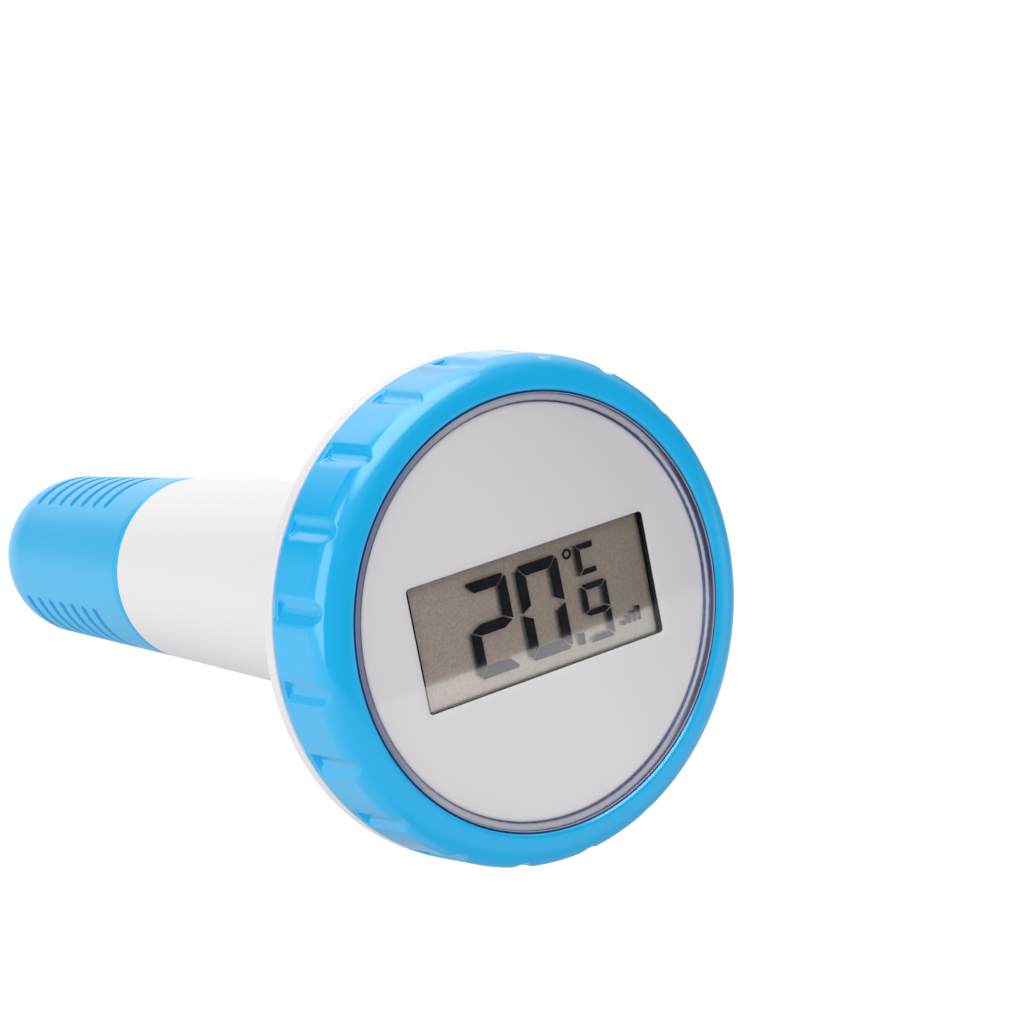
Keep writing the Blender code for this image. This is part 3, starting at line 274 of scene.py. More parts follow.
class Graph:
    """A shader tree, with short calls that add nodes and join them."""

    def __init__(self, owner):
        owner.use_nodes = True
        self.tree = owner.node_tree
        self.tree.nodes.clear()

    def add(self, kind, inputs=None, **settings):
        node = self.tree.nodes.new("ShaderNode" + kind)
        for key, value in settings.items():
            setattr(node, key, value)
        for key, value in (inputs or {}).items():
            socket = node.inputs[key]
            if isinstance(value, bpy.types.NodeSocket):
                self.tree.links.new(value, socket)
            else:
                socket.default_value = value
        return node

    def math(self, operation, a, b=0.0):
        return self.add("Math", {0: a, 1: b}, operation=operation).outputs[0]

    def vector(self, operation, a, b=(0, 0, 0)):
        node = self.add("VectorMath", {0: a, 1: b}, operation=operation)
        return node.outputs["Value" if operation in ("DOT_PRODUCT", "LENGTH") else "Vector"]

    def step(self, value, low, high, to=(0.0, 1.0)):
        """A smooth step from to[0] at low to to[1] at high."""
        inputs = {"Value": value, "From Min": low, "From Max": high, "To Min": to[0], "To Max": to[1]}
        return self.add("MapRange", inputs, interpolation_type="SMOOTHSTEP").outputs[0]

    def linear(self, value, low, high, to=(0.0, 1.0)):
        inputs = {"Value": value, "From Min": low, "From Max": high, "To Min": to[0], "To Max": to[1]}
        return self.add("MapRange", inputs).outputs[0]

    def mix(self, share, a, b):
        inputs = {"Factor": share, 6: a, 7: b}
        return self.add("Mix", inputs, data_type="RGBA").outputs[2]

    def ramp(self, value, stops):
        """A colour that follows value through stops of (value, colour)."""
        low, high = stops[0][0], stops[-1][0]
        node = self.add("ValToRGB", {"Fac": self.linear(value, low, high)})
        elements = node.color_ramp.elements
        while len(elements) < len(stops):
            elements.new(0.5)
        for element, (place, colour) in zip(elements, stops):
            element.position = (place - low) / (high - low)
            element.color = (*colour, 1)
        return node.outputs[0]

    def product(self, *values):
        total = values[0]
        for value in values[1:]:
            total = self.math("MULTIPLY", total, value)
        return total

    def total(self, *values):
        total = values[0]
        for value in values[1:]:
            total = self.math("ADD", total, value)
        return total

    def largest(self, *values):
        total = values[0]
        for value in values[1:]:
            total = self.math("MAXIMUM", total, value)
        return total

    def noise(self, size, detail=3.0, stretch=(1, 1, 1), distortion=0.0):
        """Noise whose features are about size millimetres across."""
        place = self.add("TexCoord").outputs["Object"]
        place = self.vector("MULTIPLY", place, tuple(s / (size * MM) for s in stretch))
        inputs = {"Vector": place, "Scale": 1.0, "Detail": detail, "Distortion": distortion}
        return self.add("TexNoise", inputs).outputs[0]

    def specks(self, spacing, size):
        """1 in small scattered dots of about size millimetres, and 0 between them.

        A dot is solid over the inner part of its width, and only some of the cells hold one.
        """
        solid, empty = 0.4, (0.7, 0.75)
        place = self.add("TexCoord").outputs["Object"]
        place = self.vector("MULTIPLY", place, (1 / (spacing * MM),) * 3)
        cells = self.add("TexVoronoi", {"Vector": place, "Scale": 1.0})
        dots = self.step(cells.outputs["Distance"], size / spacing, size / spacing * solid)
        few = self.step(self.add("SeparateColor", {0: cells.outputs["Color"]}).outputs[0], *empty)
        return self.math("MULTIPLY", dots, few)

    def polar(self):
        """(distance from the Z axis, height, angle) in millimetres and radians, as sockets."""
        place = self.add("TexCoord").outputs["Object"]
        axes = self.add("SeparateXYZ", {0: self.vector("MULTIPLY", place, (1 / MM,) * 3)}).outputs
        flat = self.add("CombineXYZ", {0: axes[0], 1: axes[1]}).outputs[0]
        return self.vector("LENGTH", flat), axes[2], self.math("ARCTAN2", axes[1], axes[0])

    def bump(self, height, depth):
        """A bump whose full height is depth millimetres."""
        return self.add("Bump", {"Height": height, "Distance": depth * MM, "Strength": 1.0}).outputs[0]

    def less(self, share):
        """1 - share."""
        return self.math("SUBTRACT", 1.0, share)

    def facing(self):
        """1 on a surface's front and 0 on its back."""
        return self.less(self.add("NewGeometry").outputs["Backfacing"])

    def fresnel(self, ior):
        return self.add("Fresnel", {"IOR": ior}).outputs[0]

    def shader(self, kind, colour, **inputs):
        """A simple shader node, with inputs named by their sockets."""
        return self.add("Bsdf" + kind, {"Color": (*colour, 1), **inputs}).outputs[0]

    def blend(self, share, a, b):
        return self.add("MixShader", {0: share, 1: a, 2: b}).outputs[0]

    def surface(self, **inputs):
        """A Principled BSDF, with inputs named in lower case and _ for a space."""
        node = self.add("BsdfPrincipled")
        names = {socket.name.lower().replace(" ", "_"): socket for socket in node.inputs}
        for key, value in inputs.items():
            if isinstance(value, bpy.types.NodeSocket):
                self.tree.links.new(value, names[key])
            else:
                names[key].default_value = value
        return node.outputs[0]

    def output(self, shader, kind="OutputMaterial"):
        self.add(kind, {"Surface": shader})


def new_graph(name):
    material = bpy.data.materials.new(name)
    return material, Graph(material)


def scaled(colour, factor):
    return (*(min(1.0, value * factor) for value in colour), 1.0)


CLOUD_SIZE = 22
CLOUD_GLOSS = 0.08
GRAIN_GLOSS = 0.05
GRAIN_SHADE = 0.8
DUST_GREY = (0.5, 0.5, 0.5, 1)
DUST_SPACING = 9
DUST_SIZE = 0.16


def moulded(
    name, colour, roughness, grain=0.4, relief=0.0012, drift=0.03, ior=1.5, dust=0.0, metallic=0.0
):
    """Moulded plastic: a fine grain, broad drifts of tone and gloss, and a little dust in it.

    grain and relief are the width and depth of the grain in millimetres, and drift is how far the
    tone strays.
    """
    material, graph = new_graph(name)
    broad = graph.noise(CLOUD_SIZE, 2)
    fine = graph.noise(grain, 3)
    tone = graph.mix(broad, scaled(colour, 1 - drift), scaled(colour, 1 + drift))
    tone = graph.mix(graph.product(fine, drift), tone, scaled(colour, GRAIN_SHADE))
    if dust:
        tone = graph.mix(graph.product(graph.specks(DUST_SPACING, DUST_SIZE), dust), tone, DUST_GREY)
    rough = graph.total(graph.product(broad, CLOUD_GLOSS), roughness - CLOUD_GLOSS / 2)
    rough = graph.total(graph.product(fine, GRAIN_GLOSS), rough)
    look = {"base_color": tone, "roughness": rough, "ior": ior, "metallic": metallic}
    if relief:
        look["normal"] = graph.bump(fine, relief)
    graph.output(graph.surface(**look))
    return material


def rubber(name, colour, roughness=0.6):
    return moulded(name, colour, roughness, grain=0.12, relief=0.006, drift=0.12, ior=1.4)


LINE_WIDTH = 0.08
LINE_STRETCH = (1, 1, 0.05)
LINE_RELIEF = 0.002
LINE_GLOSS = 0.16
PLATING_CLOUD = 3
PLATING_DRIFT = 0.08


def plated(name, colour, roughness=0.25):
    """Metal with fine drawn or turned lines and a slightly uneven plating."""
    material, graph = new_graph(name)
    lines = graph.noise(LINE_WIDTH, 2, LINE_STRETCH)
    broad = graph.noise(PLATING_CLOUD, 3)
    tone = graph.mix(broad, scaled(colour, 1 - PLATING_DRIFT), scaled(colour, 1 + PLATING_DRIFT))
    graph.output(graph.surface(
        base_color=tone,
        roughness=graph.total(graph.product(lines, LINE_GLOSS), roughness - 0.05),
        metallic=1.0,
        normal=graph.bump(lines, LINE_RELIEF),
    ))
    return material


RING_BLUE = (0.010, 0.482, 0.915)
CAP_BLUE = (0.012, 0.472, 0.86)
WHITE = (0.838, 0.825, 0.838)

ring_plastic = moulded("ring_blue", RING_BLUE, 0.11, grain=0.9, relief=0.001, drift=0.015, dust=0.08)
cap_plastic = moulded("cap_blue", CAP_BLUE, 0.3, grain=0.7, relief=0.0015, drift=0.02, dust=0.1)
body_plastic = moulded("body_white", WHITE, 0.36, grain=5, relief=0.0, drift=0.006)
neck_rubber = rubber("seal_rubber", (0.12, 0.12, 0.15))


def make_plate_material():
    """The dial plate: satin printed sheet, with painted shade under its rim and towards its +X +Y side.
    """
    dark, light = (0.800, 0.778, 0.790, 1), (0.828, 0.806, 0.820, 1)
    fleck, painted_rim_shade, painted_side_shade = (0.55, 0.54, 0.56, 1), (0.4, 0.39, 0.45, 1), (0.50, 0.47, 0.51, 1)
    aside, half_width = (0.9, 0.43, 0.0), 0.03
    material, graph = new_graph("dial_satin")
    radius, _, _ = graph.polar()
    grain = graph.noise(0.12, 2)
    tone = graph.mix(graph.noise(30, 2), dark, light)
    tone = graph.mix(graph.product(grain, 0.06), tone, fleck)
    # painted shade under the lens rim, darkest at the plate's edge
    rim = graph.step(radius, PLATE_RADIUS - 1.05, PLATE_RADIUS - 0.05, (0, 0.12))
    tone = graph.mix(rim, tone, painted_rim_shade)
    # painted shade towards the plate's +X +Y side
    across = graph.vector("DOT_PRODUCT", graph.add("TexCoord").outputs["Object"], aside)
    tone = graph.mix(graph.linear(across, 0.0, half_width, (0.0, 0.3)), tone, painted_side_shade)
    bump = graph.bump(grain, 0.0015)
    graph.output(graph.surface(base_color=tone, roughness=0.45, ior=1.4, normal=bump))
    return material


def make_lens_material():
    """Clear plastic, which shows only its gloss, and none of that on its rounded edge."""
    material, graph = new_graph("lens_clear")
    radius, _, _ = graph.polar()
    seen = graph.add("LightPath").outputs["Is Camera Ray"]
    sheen = graph.product(graph.fresnel(1.5), graph.facing(), seen)
    sheen = graph.product(sheen, graph.step(radius, LENS_RADIUS - 0.33, LENS_RADIUS - 0.48))
    smears = graph.linear(graph.noise(9, 3), 0.3, 0.7, (0.012, 0.03))
    clear = graph.shader("Transparent", (0.995, 0.995, 1))
    gloss = graph.shader("Glossy", (1, 1, 1), Roughness=smears)
    graph.output(graph.blend(sheen, clear, gloss))
    return material


# Painted reflection and shade of the clear lens wall, by radius for each side and by height for each
# face.
RIM_RIGHT = (
    (38.30, (0.075, 0.11, 0.25)),
    (38.42, (0.20, 0.24, 0.36)),
    (38.56, (0.55, 0.58, 0.66)),
    (39.02, (0.52, 0.54, 0.62)),
    (39.20, (0.17, 0.19, 0.28)),
    (39.45, (0.075, 0.085, 0.17)),
    (39.80, (0.07, 0.08, 0.16)),
)
RIM_LEFT = (
    (38.30, (0.10, 0.11, 0.22)),
    (38.50, (0.13, 0.15, 0.28)),
    (38.75, (0.21, 0.24, 0.35)),
    (39.05, (0.24, 0.27, 0.38)),
    (39.30, (0.19, 0.21, 0.33)),
    (39.55, (0.12, 0.16, 0.33)),
    (39.80, (0.09, 0.14, 0.34)),
)
RIM_OTHER = (
    (38.30, (0.05, 0.05, 0.13)),
    (38.44, (0.07, 0.065, 0.16)),
    (38.62, (0.38, 0.38, 0.44)),
    (39.10, (0.50, 0.50, 0.54)),
    (39.55, (0.48, 0.48, 0.54)),
    (39.72, (0.35, 0.35, 0.47)),
    (39.80, (0.08, 0.12, 0.34)),
)
RIM_OUTSIDE = (
    (188.9, (0.07, 0.08, 0.16)),
    (189.3, (0.09, 0.10, 0.19)),
    (189.5, (0.33, 0.33, 0.40)),
    (189.7, (0.45, 0.45, 0.50)),
)
RIM_INSIDE = (
    (188.3, (0.35, 0.38, 0.50)),
    (188.5, (0.08, 0.13, 0.36)),
    (188.9, (0.05, 0.08, 0.24)),
)
RIM_LINE = (0.03, 0.06, 0.2, 1)


def make_rim_material():
    """The solid wall of the lens cup as it shows through its top: grey bands between violet lines.

    The bands are painted reflection and shade of the clear wall: colours by radius, one set for
    each side of the cup, and colours by height on the wall's outer and inner faces.
    """
    material, graph = new_graph("lens_rim")
    radius, height, angle = graph.polar()
    streaks = graph.noise(1.1, 3, (1, 1, 0.2))
    place = graph.total(radius, graph.linear(streaks, 0.3, 0.7, (-0.05, 0.05)))
    right = graph.math("COSINE", graph.total(angle, math.radians(8)))
    left = graph.math("COSINE", graph.total(angle, math.radians(-165)))
    # painted reflection and shade, a different set on each side of the cup
    tone = graph.ramp(place, RIM_OTHER)
    tone = graph.mix(graph.step(left, 0.45, 0.85), tone, graph.ramp(place, RIM_LEFT))
    tone = graph.mix(graph.step(right, 0.62, 0.88), tone, graph.ramp(place, RIM_RIGHT))
    line = graph.step(radius, LENS_RADIUS - 0.30, LENS_RADIUS - 0.26)
    outside = graph.mix(line, graph.ramp(height, RIM_OUTSIDE), RIM_LINE)
    tone = graph.mix(graph.step(radius, LENS_RADIUS - 0.43, LENS_RADIUS - 0.40), tone, outside)
    inner_face = graph.step(radius, LENS_BORE + 0.04, LENS_BORE + 0.02)
    tone = graph.mix(inner_face, tone, graph.ramp(height, RIM_INSIDE))
    bump = graph.bump(streaks, 0.002)
    graph.output(graph.surface(base_color=tone, roughness=0.5, ior=1.15, normal=bump))
    return material


def make_cell_material():
    """Front glass of the display: clear, with a strong polished reflection and a few specks of dust."""
    hair_patch = (0.0195, 0.004, 0.18685)
    material, graph = new_graph("lcd_front")
    front = graph.facing()
    clear = graph.shader("Transparent", (0.97, 0.97, 0.96))
    gloss = graph.shader("Glossy", (1, 0.99, 1.0), Roughness=0.015)
    face = graph.blend(graph.product(graph.fresnel(2.55), front), clear, gloss)
    place = graph.add("TexCoord").outputs["Object"]
    away = graph.vector("LENGTH", graph.vector("SUBTRACT", place, hair_patch))
    patch = graph.step(away, 9 * MM, 2 * MM)
    hairs = graph.step(graph.noise(0.16, 1, (0.12, 1, 1), 0.4), 0.66, 0.74)
    marks = graph.largest(graph.product(hairs, patch, 0.3), graph.product(graph.specks(1.7, 0.15), 0.4))
    dust = graph.shader("Diffuse", (0.75, 0.73, 0.7))
    graph.output(graph.blend(graph.product(marks, front), face, dust))
    return material


def make_film_material():
    """The satin reflector behind the display, with painted shade darkening it towards +X."""
    half_width = 27 * MM
    left, right = (0.63, 0.525, 0.46, 1), (0.40, 0.35, 0.285, 1)
    fleck, stain = (0.2, 0.18, 0.15, 1), (0.34, 0.27, 0.24, 1)
    material, graph = new_graph("lcd_film")
    axes = graph.add("SeparateXYZ", {0: graph.add("TexCoord").outputs["Object"]}).outputs
    grain = graph.noise(0.4, 4)
    # painted shade: the film darkens from -X to +X
    tone = graph.mix(graph.linear(axes[0], -half_width, half_width), left, right)
    tone = graph.mix(graph.step(grain, 0.38, 0.66, (0.0, 0.34)), tone, fleck)
    tone = graph.mix(graph.product(graph.noise(5, 3), 0.2), tone, stain)
    matte = graph.surface(base_color=tone, roughness=0.5, ior=1.2, normal=graph.bump(grain, 0.003))
    gloss = graph.shader("Glossy", (1, 0.94, 0.84), Roughness=0.04)
    graph.output(graph.blend(0.13, matte, gloss))
    return material


def make_shadow_material():
    """Painted shadow: the soft dark copy of the figures on the film behind them, as strong as its depth
    says.
    """
    material, graph = new_graph("lcd_shadow")
    depth = graph.add("Attribute", attribute_name="depth").outputs["Fac"]
    dark = graph.shader("Diffuse", (0.07, 0.13, 0.18))
    graph.output(graph.blend(graph.product(depth, 0.6), graph.add("BsdfTransparent").outputs[0], dark))
    return material


# ---------------------------------------------------------------- head

SIDE_RADIUS = RING_RADIUS - 0.3
SIDE_TAPER = 0.3 / 10.8
CROWN_HEIGHT = 5.06
CROWN_BASE = RING_TOP - CROWN_HEIGHT
CROWN_STEPS = 30
LAND_OUTER = 41.7
LIP_RADIUS = 40.3
LIP_BOTTOM = RING_TOP - 2.4
RING_BORE = 43.8
RING_RIDGE = 1.3
BACK_EDGE = ((0.02, 0.75), (0.04, 0.55), (0.16, 0.30), (0.36, 0.10), (0.65, 0.0))
NOTCHES = 20
NOTCH_PHASE = math.radians(2.35)
NOTCH_DEPTH = 0.85
NOTCH_FLOOR = 0.4
NOTCH_HALF_WIDTH = 2.7
NOTCH_START = RING_BACK + 1.6
NOTCH_END = 0.35
NOTCH_STANDOFF = 0.16
BLEND_MIN = 0.32
BLEND_EXTRA = 0.6
NOTCH_SIDES = (2.7, 3.2, 4.0, 5.0, 6.2)
BETWEEN_NOTCHES = 7.385


def smoothstep(value, low, high):
    share = np.clip((value - low) / (high - low), 0, 1)
    return share * share * (3 - 2 * share)


def smooth_min(a, b, blend):
    share = np.clip(0.5 + 0.5 * (b - a) / blend, 0, 1)
    return b + (a - b) * share - blend * share * (1 - share)


def cut_notches(radius, height, angle):
    """Sinks a shallow trough at each notch, with a steep end near the ring's back edge.

    Between notches the trough's floor stands off from the side, so that it cuts nothing there.
    """
    spacing = TAU / NOTCHES
    across = np.abs((angle - NOTCH_PHASE + spacing / 2) % spacing - spacing / 2) * SIDE_RADIUS
    trough = 1 - smoothstep(across, NOTCH_FLOOR, NOTCH_HALF_WIDTH)
    trough = trough * smoothstep(height, NOTCH_START, NOTCH_START + NOTCH_END)
    wall = np.maximum(SIDE_RADIUS + SIDE_TAPER * (CROWN_BASE - height), SIDE_RADIUS)
    floor = wall + NOTCH_STANDOFF - (NOTCH_DEPTH + NOTCH_STANDOFF) * trough
    outside = (height > RING_BACK + 0.7) & (floor < radius + 0.25)
    blend = BLEND_MIN + BLEND_EXTRA * (1 - smoothstep(across, 1.4, 3.0))
    cut = np.minimum(smooth_min(radius, floor, blend), radius)
    return np.where(outside, cut, radius), height


def make_ring():
    crown = []
    for step in range(CROWN_STEPS + 1):
        angle = math.pi / 2 * (1 - step / CROWN_STEPS)
        crown.append((
            LAND_OUTER + (SIDE_RADIUS - LAND_OUTER) * math.cos(angle),
            CROWN_BASE + CROWN_HEIGHT * math.sin(angle),
        ))
    heights = [CROWN_BASE - 0.75 * (i + 1) for i in range(12)]
    heights.append(NOTCH_START + 0.6)
    heights += [NOTCH_START + 0.42 - 0.07 * i for i in range(7)]
    heights.append(NOTCH_START - 0.2)
    slope = (RING_RADIUS - SIDE_RADIUS) / (CROWN_BASE - RING_BACK - 0.6)
    side = [(SIDE_RADIUS + slope * (CROWN_BASE - z), z) for z in heights]
    bore = fillet([
        (RING_BORE, RING_BACK, 0.2),
        (RING_BORE, LIP_BOTTOM),
        (LIP_RADIUS, LIP_BOTTOM, 0.2),
        (LIP_RADIUS, RING_TOP - 0.45, 0.25),
        (LIP_RADIUS + 0.42, RING_TOP, 0.3),
        crown[0],
    ])[:-1]
    back = [(RING_RADIUS - inwards, RING_BACK + up) for inwards, up in BACK_EDGE]
    offsets = [
        -BETWEEN_NOTCHES,
        *(-offset for offset in reversed(NOTCH_SIDES)),
        *np.arange(-2.5, 2.51, 0.17),
        *NOTCH_SIDES,
    ]
    angles = [
        NOTCH_PHASE + notch * TAU / NOTCHES + offset / SIDE_RADIUS
        for notch in range(NOTCHES)
        for offset in offsets
    ]
    shell = lathe(bore + crown + side + back, angles=np.array(angles), shape=cut_notches)
    ridge = thread(RING_BORE, RING_BORE - RING_RIDGE, start=RING_BACK + 2, **NECK_THREAD)
    piece("ring_shell", [shell, ridge], "ring", ring_plastic, ["locking_ring"], sharp=50)


def make_lens():
    """The clear cup, and inside its wall a second surface with painted bands of reflection and shade."""
    radius, bottom, top = span("lens")
    flange, thickness = bottom + 1.8, 1.2
    cup = fillet([
        (0, top),
        (LENS_RADIUS - 0.6, top),
        (LENS_RADIUS, top, 0.18),
        (LENS_RADIUS, flange, 0.3),
        (radius, flange, 0.25),
        (radius, bottom, 0.25),
        (LENS_BORE, bottom, 0.2),
        (LENS_BORE, top - thickness, 0.2),
        (LENS_BORE - 0.5, top - thickness),
        (0, top - thickness),
    ], 5)
    piece("lens_cup", [lathe(cup, 256)], "window", make_lens_material(), ["lens"])
    inner, middle, outer = LENS_BORE + 0.03, LENS_RADIUS - 0.38, LENS_RADIUS - 0.04
    ledge, crest, foot = top - 0.9, top - 0.15, bottom + 0.6
    rim = fillet([
        (inner, foot),
        (inner, ledge, 0.05),
        (middle, ledge),
        (middle, crest, 0.03),
        (outer, crest, 0.03),
        (outer, foot),
    ], 3)
    # the wall's bands are painted reflection and shade
    piece("lens_rim", [lathe(rim, 256)], "window", make_rim_material())


def make_gasket():
    radius, bottom, top = span("lens_gasket")
    bore = 39.4
    outline = [(bore, bottom, 0.5), (radius, bottom, 0.5), (radius, top, 0.6), (bore, top, 0.6)]
    seal = lathe(fillet(outline, 6), 160)
    piece("neck_seal", [seal], "hull", neck_rubber, ["lens_gasket"])


def window_loop(grow, angles):
    """Where rays at these angles cross the window's edge, moved outwards by grow."""
    half = (WINDOW_SIZE[0] / 2 + grow, WINDOW_SIZE[1] / 2 + grow)
    bend = WINDOW_CORNER + grow
    points = []
    for angle in angles:
        ray = Vector((abs(math.cos(angle)), abs(math.sin(angle))))
        reach = min(side / max(part, 1e-9) for side, part in zip(half, ray))
        x, y = ray * reach
        centre = Vector((half[0] - bend, half[1] - bend))
        if x > centre.x and y > centre.y:
            along = ray.dot(centre)
            reach = along + math.sqrt(bend * bend - centre.length_squared + along * along)
            x, y = ray * reach
        points.append((
            WINDOW_CENTRE[0] + math.copysign(x, math.cos(angle)),
            WINDOW_CENTRE[1] + math.copysign(y, math.sin(angle)),
        ))
    return points


ROLL_DROP = 0.44
ROLL_OFFSETS = (0.0, 0.05, 0.15, 0.3, 0.5, 0.75, 1.05, 1.4, 1.9)


def circle(radius, angles):
    return [(math.cos(angle) * radius, math.sin(angle) * radius) for angle in angles]


def make_dial():
    """The plate, whose window edge rolls softly down into the opening."""
    _, bottom, top = span("dial_plate")
    corner = math.atan2(WINDOW_SIZE[1] - WINDOW_CORNER, WINDOW_SIZE[0] - WINDOW_CORNER)
    angles = set(np.linspace(0, TAU, 180, endpoint=False))
    for middle in (corner, math.pi - corner, math.pi + corner, TAU - corner):
        angles.update(middle + math.radians(offset) for offset in np.arange(-1.8, 1.81, 0.2))
    angles = sorted(angles)
    last_roll = ROLL_OFFSETS[-1]
    loops = []
    for grow in ROLL_OFFSETS:
        drop = ROLL_DROP * (1 - grow / last_roll) ** 2
        loops.append(lift(window_loop(grow, angles), top - drop))
    rolled = window_loop(last_roll, angles)
    for reach in (0.25, 0.5, 0.75, 1.0):
        loops.append([
            (x + (out_x - x) * reach, y + (out_y - y) * reach, top)
            for (x, y), (out_x, out_y) in zip(rolled, circle(PLATE_RADIUS - 0.4, angles))
        ])
    loops.append(lift(circle(PLATE_RADIUS - 0.1, angles), top))
    loops.append(lift(circle(PLATE_RADIUS, angles), top - 0.1))
    loops.append(lift(circle(PLATE_RADIUS, angles), bottom))
    loops.append(lift(rolled, bottom))
    loops.append(lift(window_loop(0.0, angles), bottom))
    part = loft(loops, closed=True)
    piece("dial_face", [part], "hull", make_plate_material(), ["dial_plate"], sharp=50)


def make_window_wall():
    """The black foam seal, which shows as the wall between the plate and the display."""
    low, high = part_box("lcd_gasket")
    bottom, top = low.z / MM - 0.15, high.z / MM + 0.2
    outer = rounded_loop(((high.x - low.x) / MM, (high.y - low.y) / MM), 1.0)
    inner = rounded_loop(WINDOW_SIZE, WINDOW_CORNER, 0.03, WINDOW_CENTRE)
    mouth = rounded_loop(WINDOW_SIZE, WINDOW_CORNER, 0.13, WINDOW_CENTRE)
    loops = [
        lift(outer, bottom),
        lift(outer, top),
        lift(mouth, top),
        lift(inner, top - 0.15),
        lift(inner, bottom),
    ]
    black = (0.012, 0.012, 0.016)
    foam = moulded("foam_black", black, 0.85, grain=0.1, relief=0.02, drift=0.3, ior=1.3)
    piece("window_wall", [loft(loops, closed=True)], "hull", foam, ["lcd_gasket"])


# ---------------------------------------------------------------- display figures

BORDER_SIZE = (52.1, 24.0)
BORDER_CENTRE = (0.6, 0.0)
CELL_CORNER = 0.4
SEGMENT_GAP = 0.13
FIGURES = (
    ("abged", (-14.1, -9.2), (-4.2, 8.95), 2.35, 1.0),
    ("abcdef", (-2.3, -9.2), (7.6, 8.95), 2.35, 1.0),
    ("abcdfg", (11.2, -9.6), (17.4, 1.7), 1.42, 0.6),
)
POINT = (9.0, -9.2, 10.3, -7.0)
UNIT_STROKES = (
    ((11.5, 3.3), (12.7, 4.4), (12.7, 7.9), (11.5, 9.1)),
    ((12.9, 8.0), (15.7, 8.0), (15.7, 9.1), (11.9, 9.1)),
    ((12.0, 3.3), (15.7, 3.3), (15.7, 4.3), (13.0, 4.3)),
)
DEGREE_CENTRE = (9.7, 8.1)
DEGREE_RADII = (0.55, 1.02)
DEGREE_STEPS = 24
SIGNAL_BARS = 4
SIGNAL_START = (19.2, -8.3)
SIGNAL_PITCH = 1.25
SIGNAL_WIDTH = 0.7
SIGNAL_HEIGHT = 0.9
SIGNAL_RISE = 0.62
# Painted shadow across each halo: (reach to the left in millimetres, strength).
HALO = ((-0.75, 0.9), (-0.2, 0.85), (0.2, 0.45), (0.7, 0.0))


def figure(lit, low, high, stroke, chamfer):
    """The lit bars of one seven-segment figure with mitred corners, as convex loops."""
    (x0, y0), (x1, y1) = low, high
    middle = (y0 + y1) / 2
    half = stroke / 2
    c = chamfer / 2
    upper = {
        "a": [
            (x0 + c, y1 - c), (x0 + stroke, y1 - stroke), (x1 - stroke, y1 - stroke),
            (x1 - c, y1 - c), (x1 - chamfer, y1), (x0 + chamfer, y1),
        ],
        "f": [
            (x0 + c, y1 - c), (x0, y1 - chamfer), (x0, middle),
            (x0 + stroke, middle + half), (x0 + stroke, y1 - stroke),
        ],
        "b": [
            (x1 - c, y1 - c), (x1 - stroke, y1 - stroke), (x1 - stroke, middle + half),
            (x1, middle), (x1, y1 - chamfer),
        ],
    }
    lower = {}
    for name, source in (("d", "a"), ("e", "f"), ("c", "b")):
        lower[name] = [(x, y0 + y1 - y) for x, y in reversed(upper[source])]
    bars = {**upper, **lower}
    bars["g"] = [
        (x0, middle), (x0 + stroke, middle - half), (x1 - stroke, middle - half),
        (x1, middle), (x1 - stroke, middle + half), (x0 + stroke, middle + half),
    ]
    return [inset(bars[name], SEGMENT_GAP) for name in lit]


def bar(x0, y0, x1, y1):
    return [(x0, y0), (x1, y0), (x1, y1), (x0, y1)]


def display_loops():
    """The reading, the unit's letter, the decimal point and four signal bars."""
    loops = [loop for spec in FIGURES for loop in figure(*spec)]
    loops.append(bar(*POINT))
    loops += UNIT_STROKES
    x, y = SIGNAL_START
    for step in range(SIGNAL_BARS):
        left = x + SIGNAL_PITCH * step
        loops.append(bar(left, y, left + SIGNAL_WIDTH, y + SIGNAL_HEIGHT + SIGNAL_RISE * step))
    return loops


def degree_ring():
    """The small round mark, as a closed strip of quads."""
    inner, outer = DEGREE_RADII
    x, y = DEGREE_CENTRE
    strips = []
    for step in range(DEGREE_STEPS):
        start, end = step / DEGREE_STEPS * TAU, (step + 1) / DEGREE_STEPS * TAU
        strips.append([
            (x + radius * math.cos(angle), y + radius * math.sin(angle))
            for radius, angle in ((inner, start), (outer, start), (outer, end), (inner, end))
        ])
    return strips


def make_display():
    """The LCD: a clear cell with the figures and a dark border inside it, a film behind, and a painted
    shadow.
    """
    low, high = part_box("lcd_glass")
    size = ((high.x - low.x) / MM, (high.y - low.y) / MM)
    bottom, top = low.z / MM, high.z / MM
    outer = rounded_loop(size, CELL_CORNER)
    cell = prism(outer, bottom, top, edge=0.2)
    piece("lcd_cell", [cell], "hull", make_cell_material(), ["lcd_glass"])
    ink = moulded("lcd_ink", (0.006, 0.007, 0.011), 0.35, grain=0.3, relief=0.0, drift=0.3, ior=1.2)
    loops = display_loops()
    parts = [prism(loop, top - 0.09, top - 0.05) for loop in loops + degree_ring()]
    piece("lcd_figures", parts, "hull", ink)
    border = rounded_loop(BORDER_SIZE, CELL_CORNER, centre=BORDER_CENTRE)
    back, front = top - 0.14, top - 0.1
    mask = [lift(outer, back), lift(outer, front), lift(border, front), lift(border, back)]
    piece("lcd_border", [loft(mask, closed=True)], "hull", ink)
    film = prism(rounded_loop((size[0] - 1, size[1] - 1), CELL_CORNER), top - 0.85, top - 0.7)
    piece("lcd_film", [film], "hull", make_film_material())
    # painted shadow of the figures, laid just above the film
    make_shadow(loops, top - 0.66)


